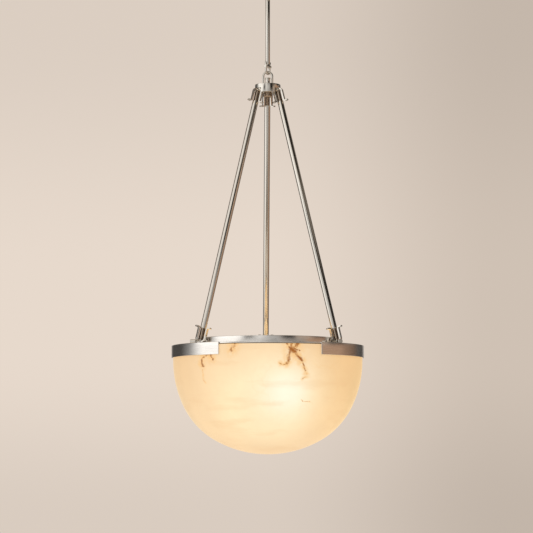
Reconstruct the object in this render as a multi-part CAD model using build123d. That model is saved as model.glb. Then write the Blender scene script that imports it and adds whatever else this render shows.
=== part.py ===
from build123d import *
import math
import os

# Alabaster bowl pendant. Millimetres. Origin: centre of the ceiling plane. +Z up, front is -Y.
# A ceiling plate and a stem carry a shackle, which is linked with the loop on a hub. Three arms
# lean outwards from the hub to a stepped ring, and the ring holds the alabaster bowl.

# ---------------------------------------------------------------- driving sizes
# Clearances
SLIDE_GAP = 0.05          # radial, a shaft in a bore that it slides or turns in
SCREW_GAP = 0.05          # radial, a screw or stud in its hole
LOOSE_GAP = 0.4           # radial, a hole that only passes something
LINK_GAP = 0.3            # between the shackle and the loop that hangs in it
OVERCUT = 1.0             # how far a cutting shape runs past the face that it cuts

# Rounding, as a share of the part that is rounded
SCREW_HEAD_ROUND = 0.4    # of the lesser of a head's radius and height
STEM_TIP_ROUND = 0.25     # of the tip's radius
EYE_ROUND = 0.15          # of the shackle eye's thickness
RIM_ROUND = 0.3           # of the bushing rim's height

# Ceiling plate
STRAP_LENGTH = 108.0
STRAP_WIDTH = 20.0
STRAP_T = 2.0
STRAP_CORNER_R = 4.0
SLOT_SPACING = 79.4       # between the middles of the two slots
SLOT_LENGTH = 14.5
SLOT_R = 2.5
NIPPLE_R = 4.75
NIPPLE_BORE_R = 3.4
NIPPLE_LENGTH = 14.0
LOCKNUT_AF = 15.0
LOCKNUT_T = 2.6
GROUND_SCREW_X = 22.0
GROUND_SCREW_R = 2.0
GROUND_HEAD_R = 4.2
GROUND_HEAD_T = 2.4

# Canopy and the ring that holds it up on the stem
CANOPY_R = 63.5
CANOPY_H = 26.0
CANOPY_T = 1.2
CANOPY_EDGE_R = 8.0
SLIP_RING_R = 11.0
SLIP_RING_H = 12.0
SLIP_RING_EDGE = 1.0
SLIP_SCREW_R = 1.5
SLIP_SCREW_HEAD_R = 2.6
SLIP_SCREW_HEAD_L = 3.0

# Stem
STEM_R = 4.75
STEM_BORE_R = 3.4
STEM_END_Z = -181.2
STEM_TOP_GAP = 1.0        # between the nipple and the stem inside the coupling
COUPLING_R = 7.5
COUPLING_LENGTH = 15.0
COUPLING_TOP_GAP = 1.4    # between the locknut and the coupling
STEM_TIP_R = 4.3
STEM_TIP_PLUG = 14.0      # length of the tip inside the stem
TIP_BELOW_PIN = 3.0

# Shackle
SHACKLE_WIRE_R = 2.1
SHACKLE_BEND_R = 7.4      # centre line of the round bend, and half the spacing of the legs
SHACKLE_TURN = 58.0       # degrees from +X to the line through the two legs
SHACKLE_PIN_Z = -186.2
SHACKLE_EYE_R = 3.9
SHACKLE_EYE_T = 4.4
SHACKLE_TIP_RISE = 9.4
SHACKLE_TIP_SPREAD = 2.0
SHACKLE_TIP_R = 1.8
SHACKLE_TIP_STRAIGHT = 2.0
PIN_R = 1.6
PIN_HEAD_R = 2.7
PIN_HEAD_T = 1.2
PIN_HEAD_GAP = 0.3

# Loop on the hub
LOOP_WIRE_R = 2.2
LOOP_BEND_R = 9.5
LOOP_TOP_Z = -195.9
LOOP_NUT_AF = 7.6
LOOP_NUT_T = 2.2
BUSHING_R = 5.9
BUSHING_NECK_R = 4.9
BUSHING_BORE_R = 2.4
BUSHING_TOP_Z = -211.0
BUSHING_RIM_H = 3.0

# Hub
HUB_R = 27.4
HUB_TOP_Z = -226.5
HUB_H = 18.7
HUB_EDGE = 0.7
HUB_CAP_R = 24.2
HUB_CAP_T = 3.0
HUB_CAVITY_R = 22.4
HUB_CAVITY_H = 2.4
HUB_WELL_R = 9.6
HUB_FLOOR_T = 3.6
FINIAL_R = 10.0
FINIAL_H = 8.0
FINIAL_EDGE = 2.2
FINIAL_BORE_R = 2.4
FINIAL_SPIGOT_R = 6.0
FINIAL_SPIGOT_L = 3.0

# Arms: polar angles, and the closed end of the upper clasp of each arm
ARM_NAMES = ("back", "left", "right")
FIRST_ARM_ANGLE = 90.0
ARM_TOP_R = 23.1
ARM_TOP_Z = -236.1
ARM_TUBE_R = 6.35
ARM_TUBE_T = 1.2

# Clasps: three petals round the end of each arm
CLASP_LENGTH = 32.5
PETAL_T = 2.6
PETAL_W = 7.0
PETAL_COUNT = 3
PETAL_R = 10.5            # centre line of the straight part
PETAL_LIP_R = 18.4        # outer end of the turned-out lip
CLASP_BASE_BEND = 6.8     # centre line of the bend from the base to the petal
CLASP_LIP_BEND = 2.8
CLASP_BOSS_R = 4.3
CLASP_BOSS_H = 5.6
POCKET_GAP = 0.8          # round a clasp in the hub

# Knuckles: they join the clasps to the arm tubes
KNUCKLE_R = 5.25
KNUCKLE_ROOT_R = 3.7
KNUCKLE_ROOT_L = 2.2
KNUCKLE_EDGE = 0.7
KNUCKLE_SPIGOT_L = 12.0
TUBE_INSIDE_CLASP = 3.0   # how far the arm tube reaches in past the petals' lips
ARM_SCREW_R = 2.0
ARM_SCREW_HEAD_R = 3.5
ARM_SCREW_HEAD_T = 2.0
ARM_SCREW_SEAT = 2.9      # from the closed end of the clasp up to the screw's head
ARM_SCREW_REACH = 15.0    # from the closed end of the clasp to the screw's end

# Stepped ring
FLANGE_TOP_Z = -786.7
FLANGE_T = 3.0
FLANGE_W = 50.7
FLANGE_GAP = 0.2          # between the flange and the pads round it
COLLAR_T = 3.0
COLLAR_H = 14.8
PAD_GAP = 0.3             # between the pads and the bowl
PAD_T = 3.2
PAD_H = 25.6
PAD_HALF_ANGLE = 29.1
PAD_CORNER = 0.8
GASKET_T = 1.2
GASKET_W = 12.4
GASKET_INSET = 1.3        # from the bowl's outer face

# Feet of the arms on the ring: low round pads, each with a lock screw that lies on the ring
FOOT_R = 8.0
FOOT_RISE = 3.5           # from the flange to the closed end of the lower clasp
FOOT_FROM_COLLAR = 12.4   # from the collar's outer face to the closed end of the lower clasp
FOOT_EDGE = 0.6
STUD_DEPTH = 3.0          # of the arm's stud below the closed end of the clasp
LOCK_SCREW_Z = 5.3        # above the flange
LOCK_SCREW_TURN = -45.0   # degrees from the arm's own direction
LOCK_SCREW_R = 1.5
LOCK_SCREW_TIP = 0.5      # between the lock screw's end and the stud
LOCK_HEAD_AT = 9.4        # from the clasp's axis to the head
LOCK_HEAD_R = 4.9
LOCK_HEAD_T = 11.5
LOCK_HEAD_EDGE = 0.9
FOOT_SCREW_R = 1.5
FOOT_SCREW_SHIFT = 0.9    # outwards from the closed end of the clasp
FOOT_SCREW_SPREAD = 5.0   # either side of the foot's middle
FOOT_SCREW_DEPTH = 2.4
FOOT_SCREW_HEAD_R = 2.7
FOOT_SCREW_HEAD_T = 1.8

# Bowl: three tangent arcs below a short cylinder
BOWL_R = 199.7
BOWL_T = 16.0
BOWL_BOTTOM_Z = -1014.1
BOWL_SIDE_R = 220.0
BOWL_SIDE_TURN = 26.0     # degrees from vertical at the lower end of the side arc
BOWL_SHOULDER_R = 164.0
BOWL_SHOULDER_TURN = 61.0
BOWL_LIP_EDGE = 1.5

# Studs that carry the bowl on the pads
PAD_STUD_TURN = 17.0      # degrees either side of a pad's middle
PAD_STUD_Z = -802.0
PAD_STUD_R = 2.5
PAD_STUD_SPARE = 3.0      # thread that shows past the nut
STUD_BUSH_T = 2.4
STUD_WASHER_R = 9.0
STUD_WASHER_T = 1.5
STUD_NUT_AF = 8.0
STUD_NUT_T = 4.0
BOWL_WASHER_GAP = 0.3     # flat washer on the round wall

# Lamp spider and cluster
SPIDER_LEG_COUNT = 3
FIRST_SPIDER_ANGLE = 30.0
SPIDER_END_GAP = 11.7     # between the end of a leg and the bowl's inner face
SPIDER_LEG_W = 16.0
SPIDER_T = 2.5
SPIDER_PLATE_R = 24.0
SPIDER_SCREW_FROM_END = 10.0
SPIDER_SCREW_R = 2.0
SPIDER_SCREW_DEPTH = 2.4
SPIDER_SCREW_HEAD_R = 3.8
SPIDER_SCREW_HEAD_T = 2.2
CLUSTER_STEM_R = 4.75
CLUSTER_STEM_BORE_R = 3.4
CLUSTER_STEM_DROP = 54.0  # from the spider to the top of the cluster body
CLUSTER_STEM_RISE = 9.0   # above the spider
CLUSTER_NUT_AF = 15.0
CLUSTER_NUT_T = 4.0
CLUSTER_R = 26.0
CLUSTER_H = 34.0
CLUSTER_T = 1.5
CLUSTER_EDGE = 3.0
LAMP_COUNT = 3
FIRST_LAMP_ANGLE = 285.0
LAMP_DIP = 15.0           # degrees below level
HOLDER_R = 17.0
HOLDER_LENGTH = 36.0
HOLDER_BORE_R = 14.0
HOLDER_BORE_DEPTH = 27.0
HOLDER_TAIL_R = 8.0
HOLDER_TAIL_DEPTH = 5.0   # inside the cluster
HOLDER_GAP = 0.5          # between the holder and the cluster's wall
LAMP_CAP_R = 13.2
LAMP_CAP_LENGTH = 26.0
GLOBE_R = 30.0
GLOBE_NECK_R = 15.0
GLOBE_OFFSET = 46.0       # from the globe's neck end to its centre
GLOBE_WAIST_TURN = 0.2    # radians past the neck's radius where neck and globe meet

# ---------------------------------------------------------------- worked out sizes
LOCKNUT_BOTTOM_Z = -STRAP_T - LOCKNUT_T
COUPLING_TOP_Z = LOCKNUT_BOTTOM_Z - COUPLING_TOP_GAP
STEM_TOP_Z = -NIPPLE_LENGTH - STEM_TOP_GAP
SLIP_RING_TOP_Z = -CANOPY_H
LOOP_CENTRE_Z = LOOP_TOP_Z - LOOP_WIRE_R - LOOP_BEND_R
LOOP_PIVOT_Z = LOOP_TOP_Z - LOOP_WIRE_R
SHACKLE_BOTTOM_Z = LOOP_PIVOT_Z - LOOP_WIRE_R - SHACKLE_WIRE_R - LINK_GAP
HUB_BOTTOM_Z = HUB_TOP_Z - HUB_H
HUB_CAP_BOTTOM_Z = HUB_TOP_Z - HUB_CAP_T
HUB_CAVITY_Z = HUB_CAP_BOTTOM_Z - HUB_CAVITY_H
PAD_INNER_R = BOWL_R + PAD_GAP
PAD_R = PAD_INNER_R + PAD_T
FLANGE_R = PAD_INNER_R - FLANGE_GAP
FLANGE_BORE_R = FLANGE_R - FLANGE_W
COLLAR_R = FLANGE_BORE_R + COLLAR_T
GASKET_R = BOWL_R - GASKET_INSET
GASKET_BORE_R = GASKET_R - GASKET_W
ARM_ANGLES = {name: FIRST_ARM_ANGLE + 360 / len(ARM_NAMES) * n for n, name in enumerate(ARM_NAMES)}
ARM_FOOT_R = COLLAR_R + FOOT_FROM_COLLAR
ARM_FOOT_Z = FLANGE_TOP_Z + FOOT_RISE
ARM_LEAN = math.atan2(ARM_FOOT_R - ARM_TOP_R, ARM_TOP_Z - ARM_FOOT_Z)
ARM_SPAN = math.hypot(ARM_FOOT_R - ARM_TOP_R, ARM_TOP_Z - ARM_FOOT_Z)
TUBE_START = CLASP_LENGTH - TUBE_INSIDE_CLASP
TUBE_END = ARM_SPAN - TUBE_START
FLANGE_BOTTOM_Z = FLANGE_TOP_Z - FLANGE_T
BOWL_TOP_Z = FLANGE_BOTTOM_Z - GASKET_T
SPIDER_ANGLES = [FIRST_SPIDER_ANGLE + 360 / SPIDER_LEG_COUNT * n for n in range(SPIDER_LEG_COUNT)]
SPIDER_REACH = BOWL_R - BOWL_T - SPIDER_END_GAP
SPIDER_SCREW_AT_R = SPIDER_REACH - SPIDER_SCREW_FROM_END
SPIDER_BOTTOM_Z = FLANGE_BOTTOM_Z - SPIDER_T
CLUSTER_TOP_Z = SPIDER_BOTTOM_Z - CLUSTER_STEM_DROP
LAMP_Z = CLUSTER_TOP_Z - CLUSTER_H / 2
LAMP_ANGLES = [FIRST_LAMP_ANGLE + 360 / LAMP_COUNT * n for n in range(LAMP_COUNT)]
LAMP_DIP_ANGLE = math.radians(LAMP_DIP)
HOLDER_START = HOLDER_GAP + (CLUSTER_R + HOLDER_R * math.sin(LAMP_DIP_ANGLE)) / math.cos(LAMP_DIP_ANGLE)


# ---------------------------------------------------------------- shared shapes
def rod(radius, low, high, x=0.0, y=0.0):
    """Upright cylinder from low to high."""
    return Pos(x, y, low) * Cylinder(radius, high - low, align=(Align.CENTER, Align.CENTER, Align.MIN))


def tube(outer, inner, low, high, x=0.0, y=0.0):
    """Upright tube from low to high."""
    return rod(outer, low, high, x, y) - rod(inner, low - OVERCUT, high + OVERCUT, x, y)


def nut(across_flats, bore, low, high):
    """Upright hexagon nut."""
    hexagon = RegularPolygon(across_flats / 2, 6, major_radius=False)
    return Pos(0, 0, low) * extrude(hexagon, high - low) - rod(bore, low - OVERCUT, high + OVERCUT)


def headed_screw(shank_r, head_r, head_t, length):
    """Screw along Z: its head stands above zero and its shank runs down to -length."""
    head = rod(head_r, 0, head_t)
    rim = head.edges().group_by(Axis.Z)[-1]
    return fillet(rim, min(head_t, head_r) * SCREW_HEAD_ROUND) + rod(shank_r, -length, 0)


def around(shape, angle):
    """A shape that is drawn along +X, turned about Z to a polar angle."""
    return Rot(0, 0, angle) * shape


def radial_frame(angle, radius, z):
    """Place at a radius and height, with its own Z pointing outwards."""
    return Rot(0, 0, angle) * Pos(radius, 0, z) * Rot(0, 90, 0)


def bent_bar(wire_r, half, bend_z, end_z):
    """Round bar in the XZ plane: two upright legs from end_z, joined by a half-round bend."""
    crown = bend_z + math.copysign(half, bend_z - end_z)
    route = Line((half, 0, end_z), (half, 0, bend_z))
    route += ThreePointArc((half, 0, bend_z), (0, 0, crown), (-half, 0, bend_z))
    route += Line((-half, 0, bend_z), (-half, 0, end_z))
    return sweep(Plane((half, 0, end_z), z_dir=(0, 0, bend_z - end_z)) * Circle(wire_r), path=route)


def side_of(points, distance):
    """The points of a bent line moved sideways, to the left of its direction."""
    moved = []
    for index, point in enumerate(points):
        here = Vector(*point)
        before = (here - Vector(*points[index - 1])).normalized() if index else None
        after = (Vector(*points[index + 1]) - here).normalized() if index + 1 < len(points) else None
        first = before or after
        second = after or before
        across = Vector(-first.Y - second.Y, first.X + second.X).normalized()
        reach = distance / across.dot(Vector(-first.Y, first.X))
        moved.append((here.X + across.X * reach, here.Y + across.Y * reach))
    return moved


def strip_profile(points, bends, thickness):
    """Section of a bent strip on the XZ plane, from its centre line and the radius of each bend."""
    half = thickness / 2
    turns = []
    for before, here, after in zip(points, points[1:], points[2:]):
        cross = (here[0] - before[0]) * (after[1] - here[1]) - (here[1] - before[1]) * (after[0] - here[0])
        turns.append(1 if cross > 0 else -1)
    left = [bend - half * turn for bend, turn in zip(bends, turns)]
    right = [bend + half * turn for bend, turn in zip(bends, turns)]
    with BuildSketch(Plane.XZ) as section:
        with BuildLine():
            one = FilletPolyline(*side_of(points, half), radius=left)
            two = FilletPolyline(*side_of(points, -half), radius=right)
            Line(one @ 0, two @ 0)
            Line(one @ 1, two @ 1)
        make_face()
    return section.sketch


# ---------------------------------------------------------------- ceiling plate, canopy and stem
def mounting_strap():
    plate = RectangleRounded(STRAP_LENGTH, STRAP_WIDTH, STRAP_CORNER_R)
    bar = Pos(0, 0, -STRAP_T) * extrude(plate, STRAP_T)
    bar -= rod(NIPPLE_R + SCREW_GAP, -STRAP_T - OVERCUT, OVERCUT)
    bar -= rod(GROUND_SCREW_R + SCREW_GAP, -STRAP_T - OVERCUT, OVERCUT, GROUND_SCREW_X)
    slot = Pos(0, 0, -STRAP_T - OVERCUT) * extrude(SlotOverall(SLOT_LENGTH, 2 * SLOT_R), STRAP_T + 2 * OVERCUT)
    for side in (-1, 1):
        bar -= Pos(side * SLOT_SPACING / 2, 0, 0) * slot
    return bar


def threaded_nipple():
    return tube(NIPPLE_R, NIPPLE_BORE_R, -NIPPLE_LENGTH, 0)


def strap_locknut():
    return nut(LOCKNUT_AF, NIPPLE_R + SCREW_GAP, LOCKNUT_BOTTOM_Z, -STRAP_T)


def ground_screw():
    screw = headed_screw(GROUND_SCREW_R, GROUND_HEAD_R, GROUND_HEAD_T, STRAP_T)
    return Pos(GROUND_SCREW_X, 0, -STRAP_T) * Rot(180, 0, 0) * screw


def canopy():
    outside = rod(CANOPY_R, -CANOPY_H, 0)
    outside = fillet(outside.edges().group_by(Axis.Z)[0], CANOPY_EDGE_R)
    inside = rod(CANOPY_R - CANOPY_T, -CANOPY_H + CANOPY_T, OVERCUT)
    inside = fillet(inside.edges().group_by(Axis.Z)[0], CANOPY_EDGE_R - CANOPY_T)
    return outside - inside - rod(STEM_R + LOOSE_GAP, -CANOPY_H - OVERCUT, 0)


def slip_ring():
    low = SLIP_RING_TOP_Z - SLIP_RING_H
    ring = rod(SLIP_RING_R, low, SLIP_RING_TOP_Z)
    ring = fillet(ring.edges().group_by(Axis.Z)[0], SLIP_RING_EDGE)
    ring -= rod(STEM_R + 2 * SLIDE_GAP, low - OVERCUT, SLIP_RING_TOP_Z + OVERCUT)
    hole = radial_frame(0, 0, low + SLIP_RING_H / 2) * rod(SLIP_SCREW_R + SCREW_GAP, 0, SLIP_RING_R + OVERCUT)
    return ring - hole


def slip_ring_screw():
    reach = SLIP_RING_R - STEM_R - 2 * SLIDE_GAP
    screw = headed_screw(SLIP_SCREW_R, SLIP_SCREW_HEAD_R, SLIP_SCREW_HEAD_L, reach)
    return radial_frame(0, SLIP_RING_R, SLIP_RING_TOP_Z - SLIP_RING_H / 2) * screw


def stem_coupling():
    bottom = COUPLING_TOP_Z - COUPLING_LENGTH
    return tube(COUPLING_R, STEM_R + SCREW_GAP, bottom, COUPLING_TOP_Z)


def stem_tube():
    return tube(STEM_R, STEM_BORE_R, STEM_END_Z, STEM_TOP_Z)


def pin_place():
    """Place of the pin, with its own Z along the pin."""
    return Rot(0, 0, SHACKLE_TURN) * Pos(0, 0, SHACKLE_PIN_Z) * Rot(0, 90, 0)


def stem_tip():
    tip = rod(STEM_TIP_R, SHACKLE_PIN_Z - TIP_BELOW_PIN, STEM_END_Z)
    tip = fillet(tip.edges().group_by(Axis.Z)[0], STEM_TIP_R * STEM_TIP_ROUND)
    tip += rod(STEM_BORE_R - SCREW_GAP, STEM_END_Z, STEM_END_Z + STEM_TIP_PLUG)
    return tip - pin_place() * rod(PIN_R + SCREW_GAP, -2 * STEM_TIP_R, 2 * STEM_TIP_R)


def shackle_pin():
    half = SHACKLE_BEND_R + SHACKLE_EYE_T / 2 + PIN_HEAD_GAP
    pin = rod(PIN_R, -half, half)
    pin += rod(PIN_HEAD_R, half, half + PIN_HEAD_T)
    pin += rod(PIN_HEAD_R, -half - PIN_HEAD_T, -half)
    return pin_place() * pin


def shackle():
    """Round bar bent to a U, with an eye on each leg and turned-out tips above the eyes."""
    half = SHACKLE_BEND_R
    bar = bent_bar(SHACKLE_WIRE_R, half, SHACKLE_BOTTOM_Z + half, SHACKLE_PIN_Z)
    for side in (-1, 1):
        eye = Pos(side * half, 0, SHACKLE_PIN_Z) * Rot(0, 90, 0) * Cylinder(SHACKLE_EYE_R, SHACKLE_EYE_T)
        low = Vector(side * half, 0, SHACKLE_PIN_Z + SHACKLE_TIP_STRAIGHT)
        high = Vector(side * (half + SHACKLE_TIP_SPREAD), 0, SHACKLE_PIN_Z + SHACKLE_TIP_RISE)
        tip = Plane(low, z_dir=high - low) * Cylinder(
            SHACKLE_TIP_R, (high - low).length, align=(Align.CENTER, Align.CENTER, Align.MIN)
        )
        bar = bar + fillet(eye.edges(), SHACKLE_EYE_T * EYE_ROUND) + tip + Pos(*high) * Sphere(SHACKLE_TIP_R)
    body = Rot(0, 0, SHACKLE_TURN) * bar
    return body - pin_place() * rod(PIN_R + SLIDE_GAP, -3 * half, 3 * half)


# ---------------------------------------------------------------- hub
def hub_loop():
    """Round bar bent to an arch; both ends pass through the hub's cap into their nuts."""
    return bent_bar(LOOP_WIRE_R, LOOP_BEND_R, LOOP_CENTRE_Z, HUB_CAP_BOTTOM_Z - LOOP_NUT_T)


def loop_nuts():
    bore = LOOP_WIRE_R + SCREW_GAP
    one = nut(LOOP_NUT_AF, bore, HUB_CAP_BOTTOM_Z - LOOP_NUT_T, HUB_CAP_BOTTOM_Z)
    return [Pos(side * LOOP_BEND_R, 0, 0) * one for side in (-1, 1)]


def wire_bushing():
    neck = rod(BUSHING_NECK_R, HUB_CAP_BOTTOM_Z, BUSHING_TOP_Z)
    rim = rod(BUSHING_R, BUSHING_TOP_Z - BUSHING_RIM_H, BUSHING_TOP_Z)
    foot = rod(BUSHING_R, HUB_TOP_Z, HUB_TOP_Z + BUSHING_RIM_H)
    body = neck + fillet(rim.edges(), BUSHING_RIM_H * RIM_ROUND) + foot
    return body - rod(BUSHING_BORE_R, HUB_CAP_BOTTOM_Z - OVERCUT, BUSHING_TOP_Z + OVERCUT)


def hub_cap():
    cap = rod(HUB_CAP_R, HUB_CAP_BOTTOM_Z, HUB_TOP_Z)
    cap -= rod(BUSHING_NECK_R + SCREW_GAP, HUB_CAP_BOTTOM_Z - OVERCUT, HUB_TOP_Z + OVERCUT)
    for side in (-1, 1):
        cap -= rod(LOOP_WIRE_R + SCREW_GAP, HUB_CAP_BOTTOM_Z - OVERCUT, HUB_TOP_Z + OVERCUT, side * LOOP_BEND_R)
    return cap


def clasp_pocket():
    """Room for a clasp in the hub, in the clasp's own frame."""
    return rod(PETAL_R + PETAL_T / 2 + POCKET_GAP, 0, 2 * CLASP_LENGTH)


def arm_frame(angle, station):
    """Place on an arm's axis: its own Z runs down the arm and its X outwards."""
    lean = math.degrees(ARM_LEAN)
    top = Rot(0, 0, angle) * Pos(ARM_TOP_R, 0, ARM_TOP_Z) * Rot(0, 180 - lean, 0)
    return top * Pos(0, 0, station) * Rot(0, 0, 180)


def foot_frame(angle):
    """Place of the lower clasp: its own Z runs up the arm and its X outwards."""
    lean = math.degrees(ARM_LEAN)
    return Rot(0, 0, angle) * Pos(ARM_FOOT_R, 0, ARM_FOOT_Z) * Rot(0, -lean, 0)


def hub_body():
    drum = rod(HUB_R, HUB_BOTTOM_Z, HUB_TOP_Z)
    drum = fillet(drum.edges().filter_by(GeomType.CIRCLE), HUB_EDGE)
    drum -= rod(HUB_CAP_R + SCREW_GAP, HUB_CAP_BOTTOM_Z, HUB_TOP_Z + OVERCUT)
    drum -= rod(HUB_CAVITY_R, HUB_CAVITY_Z, HUB_TOP_Z)
    drum -= rod(HUB_WELL_R, HUB_BOTTOM_Z + HUB_FLOOR_T, HUB_TOP_Z)
    drum -= rod(FINIAL_SPIGOT_R + SCREW_GAP, HUB_BOTTOM_Z - OVERCUT, HUB_TOP_Z)
    for angle in ARM_ANGLES.values():
        frame = arm_frame(angle, 0)
        drum -= frame * clasp_pocket()
        drum -= frame * rod(ARM_SCREW_R + SCREW_GAP, -2 * ARM_SCREW_SEAT, OVERCUT)
        drum -= frame * rod(ARM_SCREW_HEAD_R + LOOSE_GAP, -2 * HUB_CAP_T - ARM_SCREW_SEAT, -ARM_SCREW_SEAT)
    return drum


def hub_finial():
    knob = rod(FINIAL_R, HUB_BOTTOM_Z - FINIAL_H, HUB_BOTTOM_Z)
    knob = fillet(knob.edges().group_by(Axis.Z)[0], FINIAL_EDGE)
    knob += rod(FINIAL_SPIGOT_R, HUB_BOTTOM_Z, HUB_BOTTOM_Z + FINIAL_SPIGOT_L)
    return knob - rod(FINIAL_BORE_R, HUB_BOTTOM_Z - FINIAL_H - OVERCUT, HUB_TOP_Z)


def hub_arm_screws():
    screw = headed_screw(ARM_SCREW_R, ARM_SCREW_HEAD_R, ARM_SCREW_HEAD_T, ARM_SCREW_SEAT + ARM_SCREW_REACH)
    return [
        arm_frame(angle, -ARM_SCREW_SEAT) * Rot(180, 0, 0) * screw for angle in ARM_ANGLES.values()
    ]


# ---------------------------------------------------------------- arms
def clasp():
    """Three petals with turned-out lips on a round boss. It stands on zero and opens upwards."""
    half = PETAL_T / 2
    line = [
        (0, half),
        (PETAL_R, half),
        (PETAL_R, CLASP_LENGTH - half),
        (PETAL_LIP_R, CLASP_LENGTH - half),
    ]
    cup = revolve(strip_profile(line, [CLASP_BASE_BEND, CLASP_LIP_BEND], PETAL_T), Axis.Z)
    tip_x = PETAL_LIP_R - PETAL_W / 2
    leaf = Pos(tip_x / 2, 0) * Rectangle(tip_x, PETAL_W) + Pos(tip_x, 0) * Circle(PETAL_W / 2)
    slab = extrude(leaf, CLASP_LENGTH)
    boss = rod(CLASP_BOSS_R, 0, CLASP_BOSS_H)
    body = boss + [Rot(0, 0, 360 * n / PETAL_COUNT) * (cup & slab) for n in range(PETAL_COUNT)]
    return body - rod(ARM_SCREW_R + SCREW_GAP, -OVERCUT, CLASP_BOSS_H + OVERCUT)


def knuckle():
    """Plug between a clasp's boss and an arm tube, in the clasp's own frame."""
    root_end = CLASP_BOSS_H + KNUCKLE_ROOT_L
    body = rod(KNUCKLE_R, root_end, TUBE_START)
    body = fillet(body.edges().filter_by(GeomType.CIRCLE), KNUCKLE_EDGE)
    body += rod(KNUCKLE_ROOT_R, CLASP_BOSS_H, root_end + KNUCKLE_EDGE)
    body += rod(ARM_TUBE_R - ARM_TUBE_T - SCREW_GAP, TUBE_START - KNUCKLE_EDGE, TUBE_START + KNUCKLE_SPIGOT_L)
    return body - rod(ARM_SCREW_R + SCREW_GAP, CLASP_BOSS_H - OVERCUT, ARM_SCREW_REACH + OVERCUT)


def arm_tube():
    return tube(ARM_TUBE_R, ARM_TUBE_R - ARM_TUBE_T, TUBE_START, TUBE_END)


def foot_screw_places(angle):
    """The two screw axes of a foot, at the flange's upper face, pointing up."""
    spread = (-FOOT_SCREW_SPREAD, FOOT_SCREW_SPREAD)
    return [Rot(0, 0, angle) * Pos(ARM_FOOT_R + FOOT_SCREW_SHIFT, side, FLANGE_TOP_Z) for side in spread]


def arm_foot(angle):
    """Low round pad on the flange that leans with the arm, drilled for its stud and screws."""
    pad = rod(FOOT_R, -4 * FOOT_RISE, 0)
    pad = foot_frame(angle) * fillet(pad.edges().group_by(Axis.Z)[-1], FOOT_EDGE)
    pad -= rod(2 * FLANGE_R, FLANGE_TOP_Z - 8 * FOOT_RISE, FLANGE_TOP_Z)
    pad -= foot_frame(angle) * rod(ARM_SCREW_R + SCREW_GAP, -STUD_DEPTH, OVERCUT)
    pad -= lock_screw_place(angle) * rod(LOCK_SCREW_R + SCREW_GAP, 0, LOCK_HEAD_AT)
    for place in foot_screw_places(angle):
        pad -= place * rod(FOOT_SCREW_R + SCREW_GAP, -OVERCUT, FOOT_SCREW_DEPTH)
    return pad


def foot_screws():
    length = FLANGE_T + FOOT_SCREW_DEPTH
    screw = headed_screw(FOOT_SCREW_R, FOOT_SCREW_HEAD_R, FOOT_SCREW_HEAD_T, length)
    places = [place for angle in ARM_ANGLES.values() for place in foot_screw_places(angle)]
    return [place * Pos(0, 0, -FLANGE_T) * Rot(180, 0, 0) * screw for place in places]


def arm_studs():
    stud = rod(ARM_SCREW_R, -STUD_DEPTH, ARM_SCREW_REACH)
    return [foot_frame(angle) * stud for angle in ARM_ANGLES.values()]


def lock_screw_place(angle):
    """Level axis of a lock screw, pointing outwards from the axis of the lower clasp."""
    height = FLANGE_TOP_Z + LOCK_SCREW_Z
    axis_r = ARM_FOOT_R - (height - ARM_FOOT_Z) * math.tan(ARM_LEAN)
    return Rot(0, 0, angle) * Pos(axis_r, 0, height) * Rot(0, 0, LOCK_SCREW_TURN) * Rot(0, 90, 0)


def lower_clasp(angle):
    """Clasp on its foot, with a cross hole for the lock screw."""
    hole = rod(LOCK_SCREW_R + SCREW_GAP, 0, LOCK_HEAD_AT)
    return foot_frame(angle) * CLASP - lock_screw_place(angle) * hole


def foot_lock_screws():
    """Round-headed screws that lie on the ring and lock the arm studs in the lower clasps."""
    head = rod(LOCK_HEAD_R, LOCK_HEAD_AT, LOCK_HEAD_AT + LOCK_HEAD_T)
    head = fillet(head.edges().filter_by(GeomType.CIRCLE), LOCK_HEAD_EDGE)
    screw = head + rod(LOCK_SCREW_R, ARM_SCREW_R + LOCK_SCREW_TIP, LOCK_HEAD_AT + LOCK_HEAD_T / 2)
    return [lock_screw_place(angle) * screw for angle in ARM_ANGLES.values()]


# ---------------------------------------------------------------- stepped ring
def flange_ring():
    ring = tube(FLANGE_R, FLANGE_BORE_R, FLANGE_BOTTOM_Z, FLANGE_TOP_Z)
    for angle in ARM_ANGLES.values():
        for place in foot_screw_places(angle):
            ring -= place * rod(FOOT_SCREW_R + SCREW_GAP, -2 * FLANGE_T, FLANGE_T)
    for angle in SPIDER_ANGLES:
        hole = rod(SPIDER_SCREW_R + SCREW_GAP, FLANGE_BOTTOM_Z - OVERCUT, FLANGE_BOTTOM_Z + SPIDER_SCREW_DEPTH)
        ring -= around(Pos(SPIDER_SCREW_AT_R, 0, 0) * hole, angle)
    return ring


def collar_ring():
    return tube(COLLAR_R, COLLAR_R - COLLAR_T, FLANGE_TOP_Z, FLANGE_TOP_Z + COLLAR_H)


def rim_pad(angle):
    """Curved plate that hangs over the bowl's edge, centred on an arm."""
    ring = tube(PAD_R, PAD_INNER_R, FLANGE_TOP_Z - PAD_H, FLANGE_TOP_Z)
    reach = 2 * PAD_R
    width = reach * math.tan(math.radians(PAD_HALF_ANGLE))
    wedge = extrude(make_face(Polyline((0, 0), (reach, width), (reach, -width), close=True)), -2 * PAD_H)
    plate = ring & Pos(0, 0, FLANGE_TOP_Z + PAD_H / 2) * wedge
    plate = fillet(plate.edges().filter_by(lambda edge: edge.length < 2 * PAD_T), PAD_CORNER)
    return around(plate, angle)


def stud_places():
    """Places of the pad studs at the inner face of each pad, with their own Z pointing outwards."""
    return [
        radial_frame(angle + offset, PAD_INNER_R, PAD_STUD_Z)
        for angle in ARM_ANGLES.values()
        for offset in (-PAD_STUD_TURN, PAD_STUD_TURN)
    ]


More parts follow.
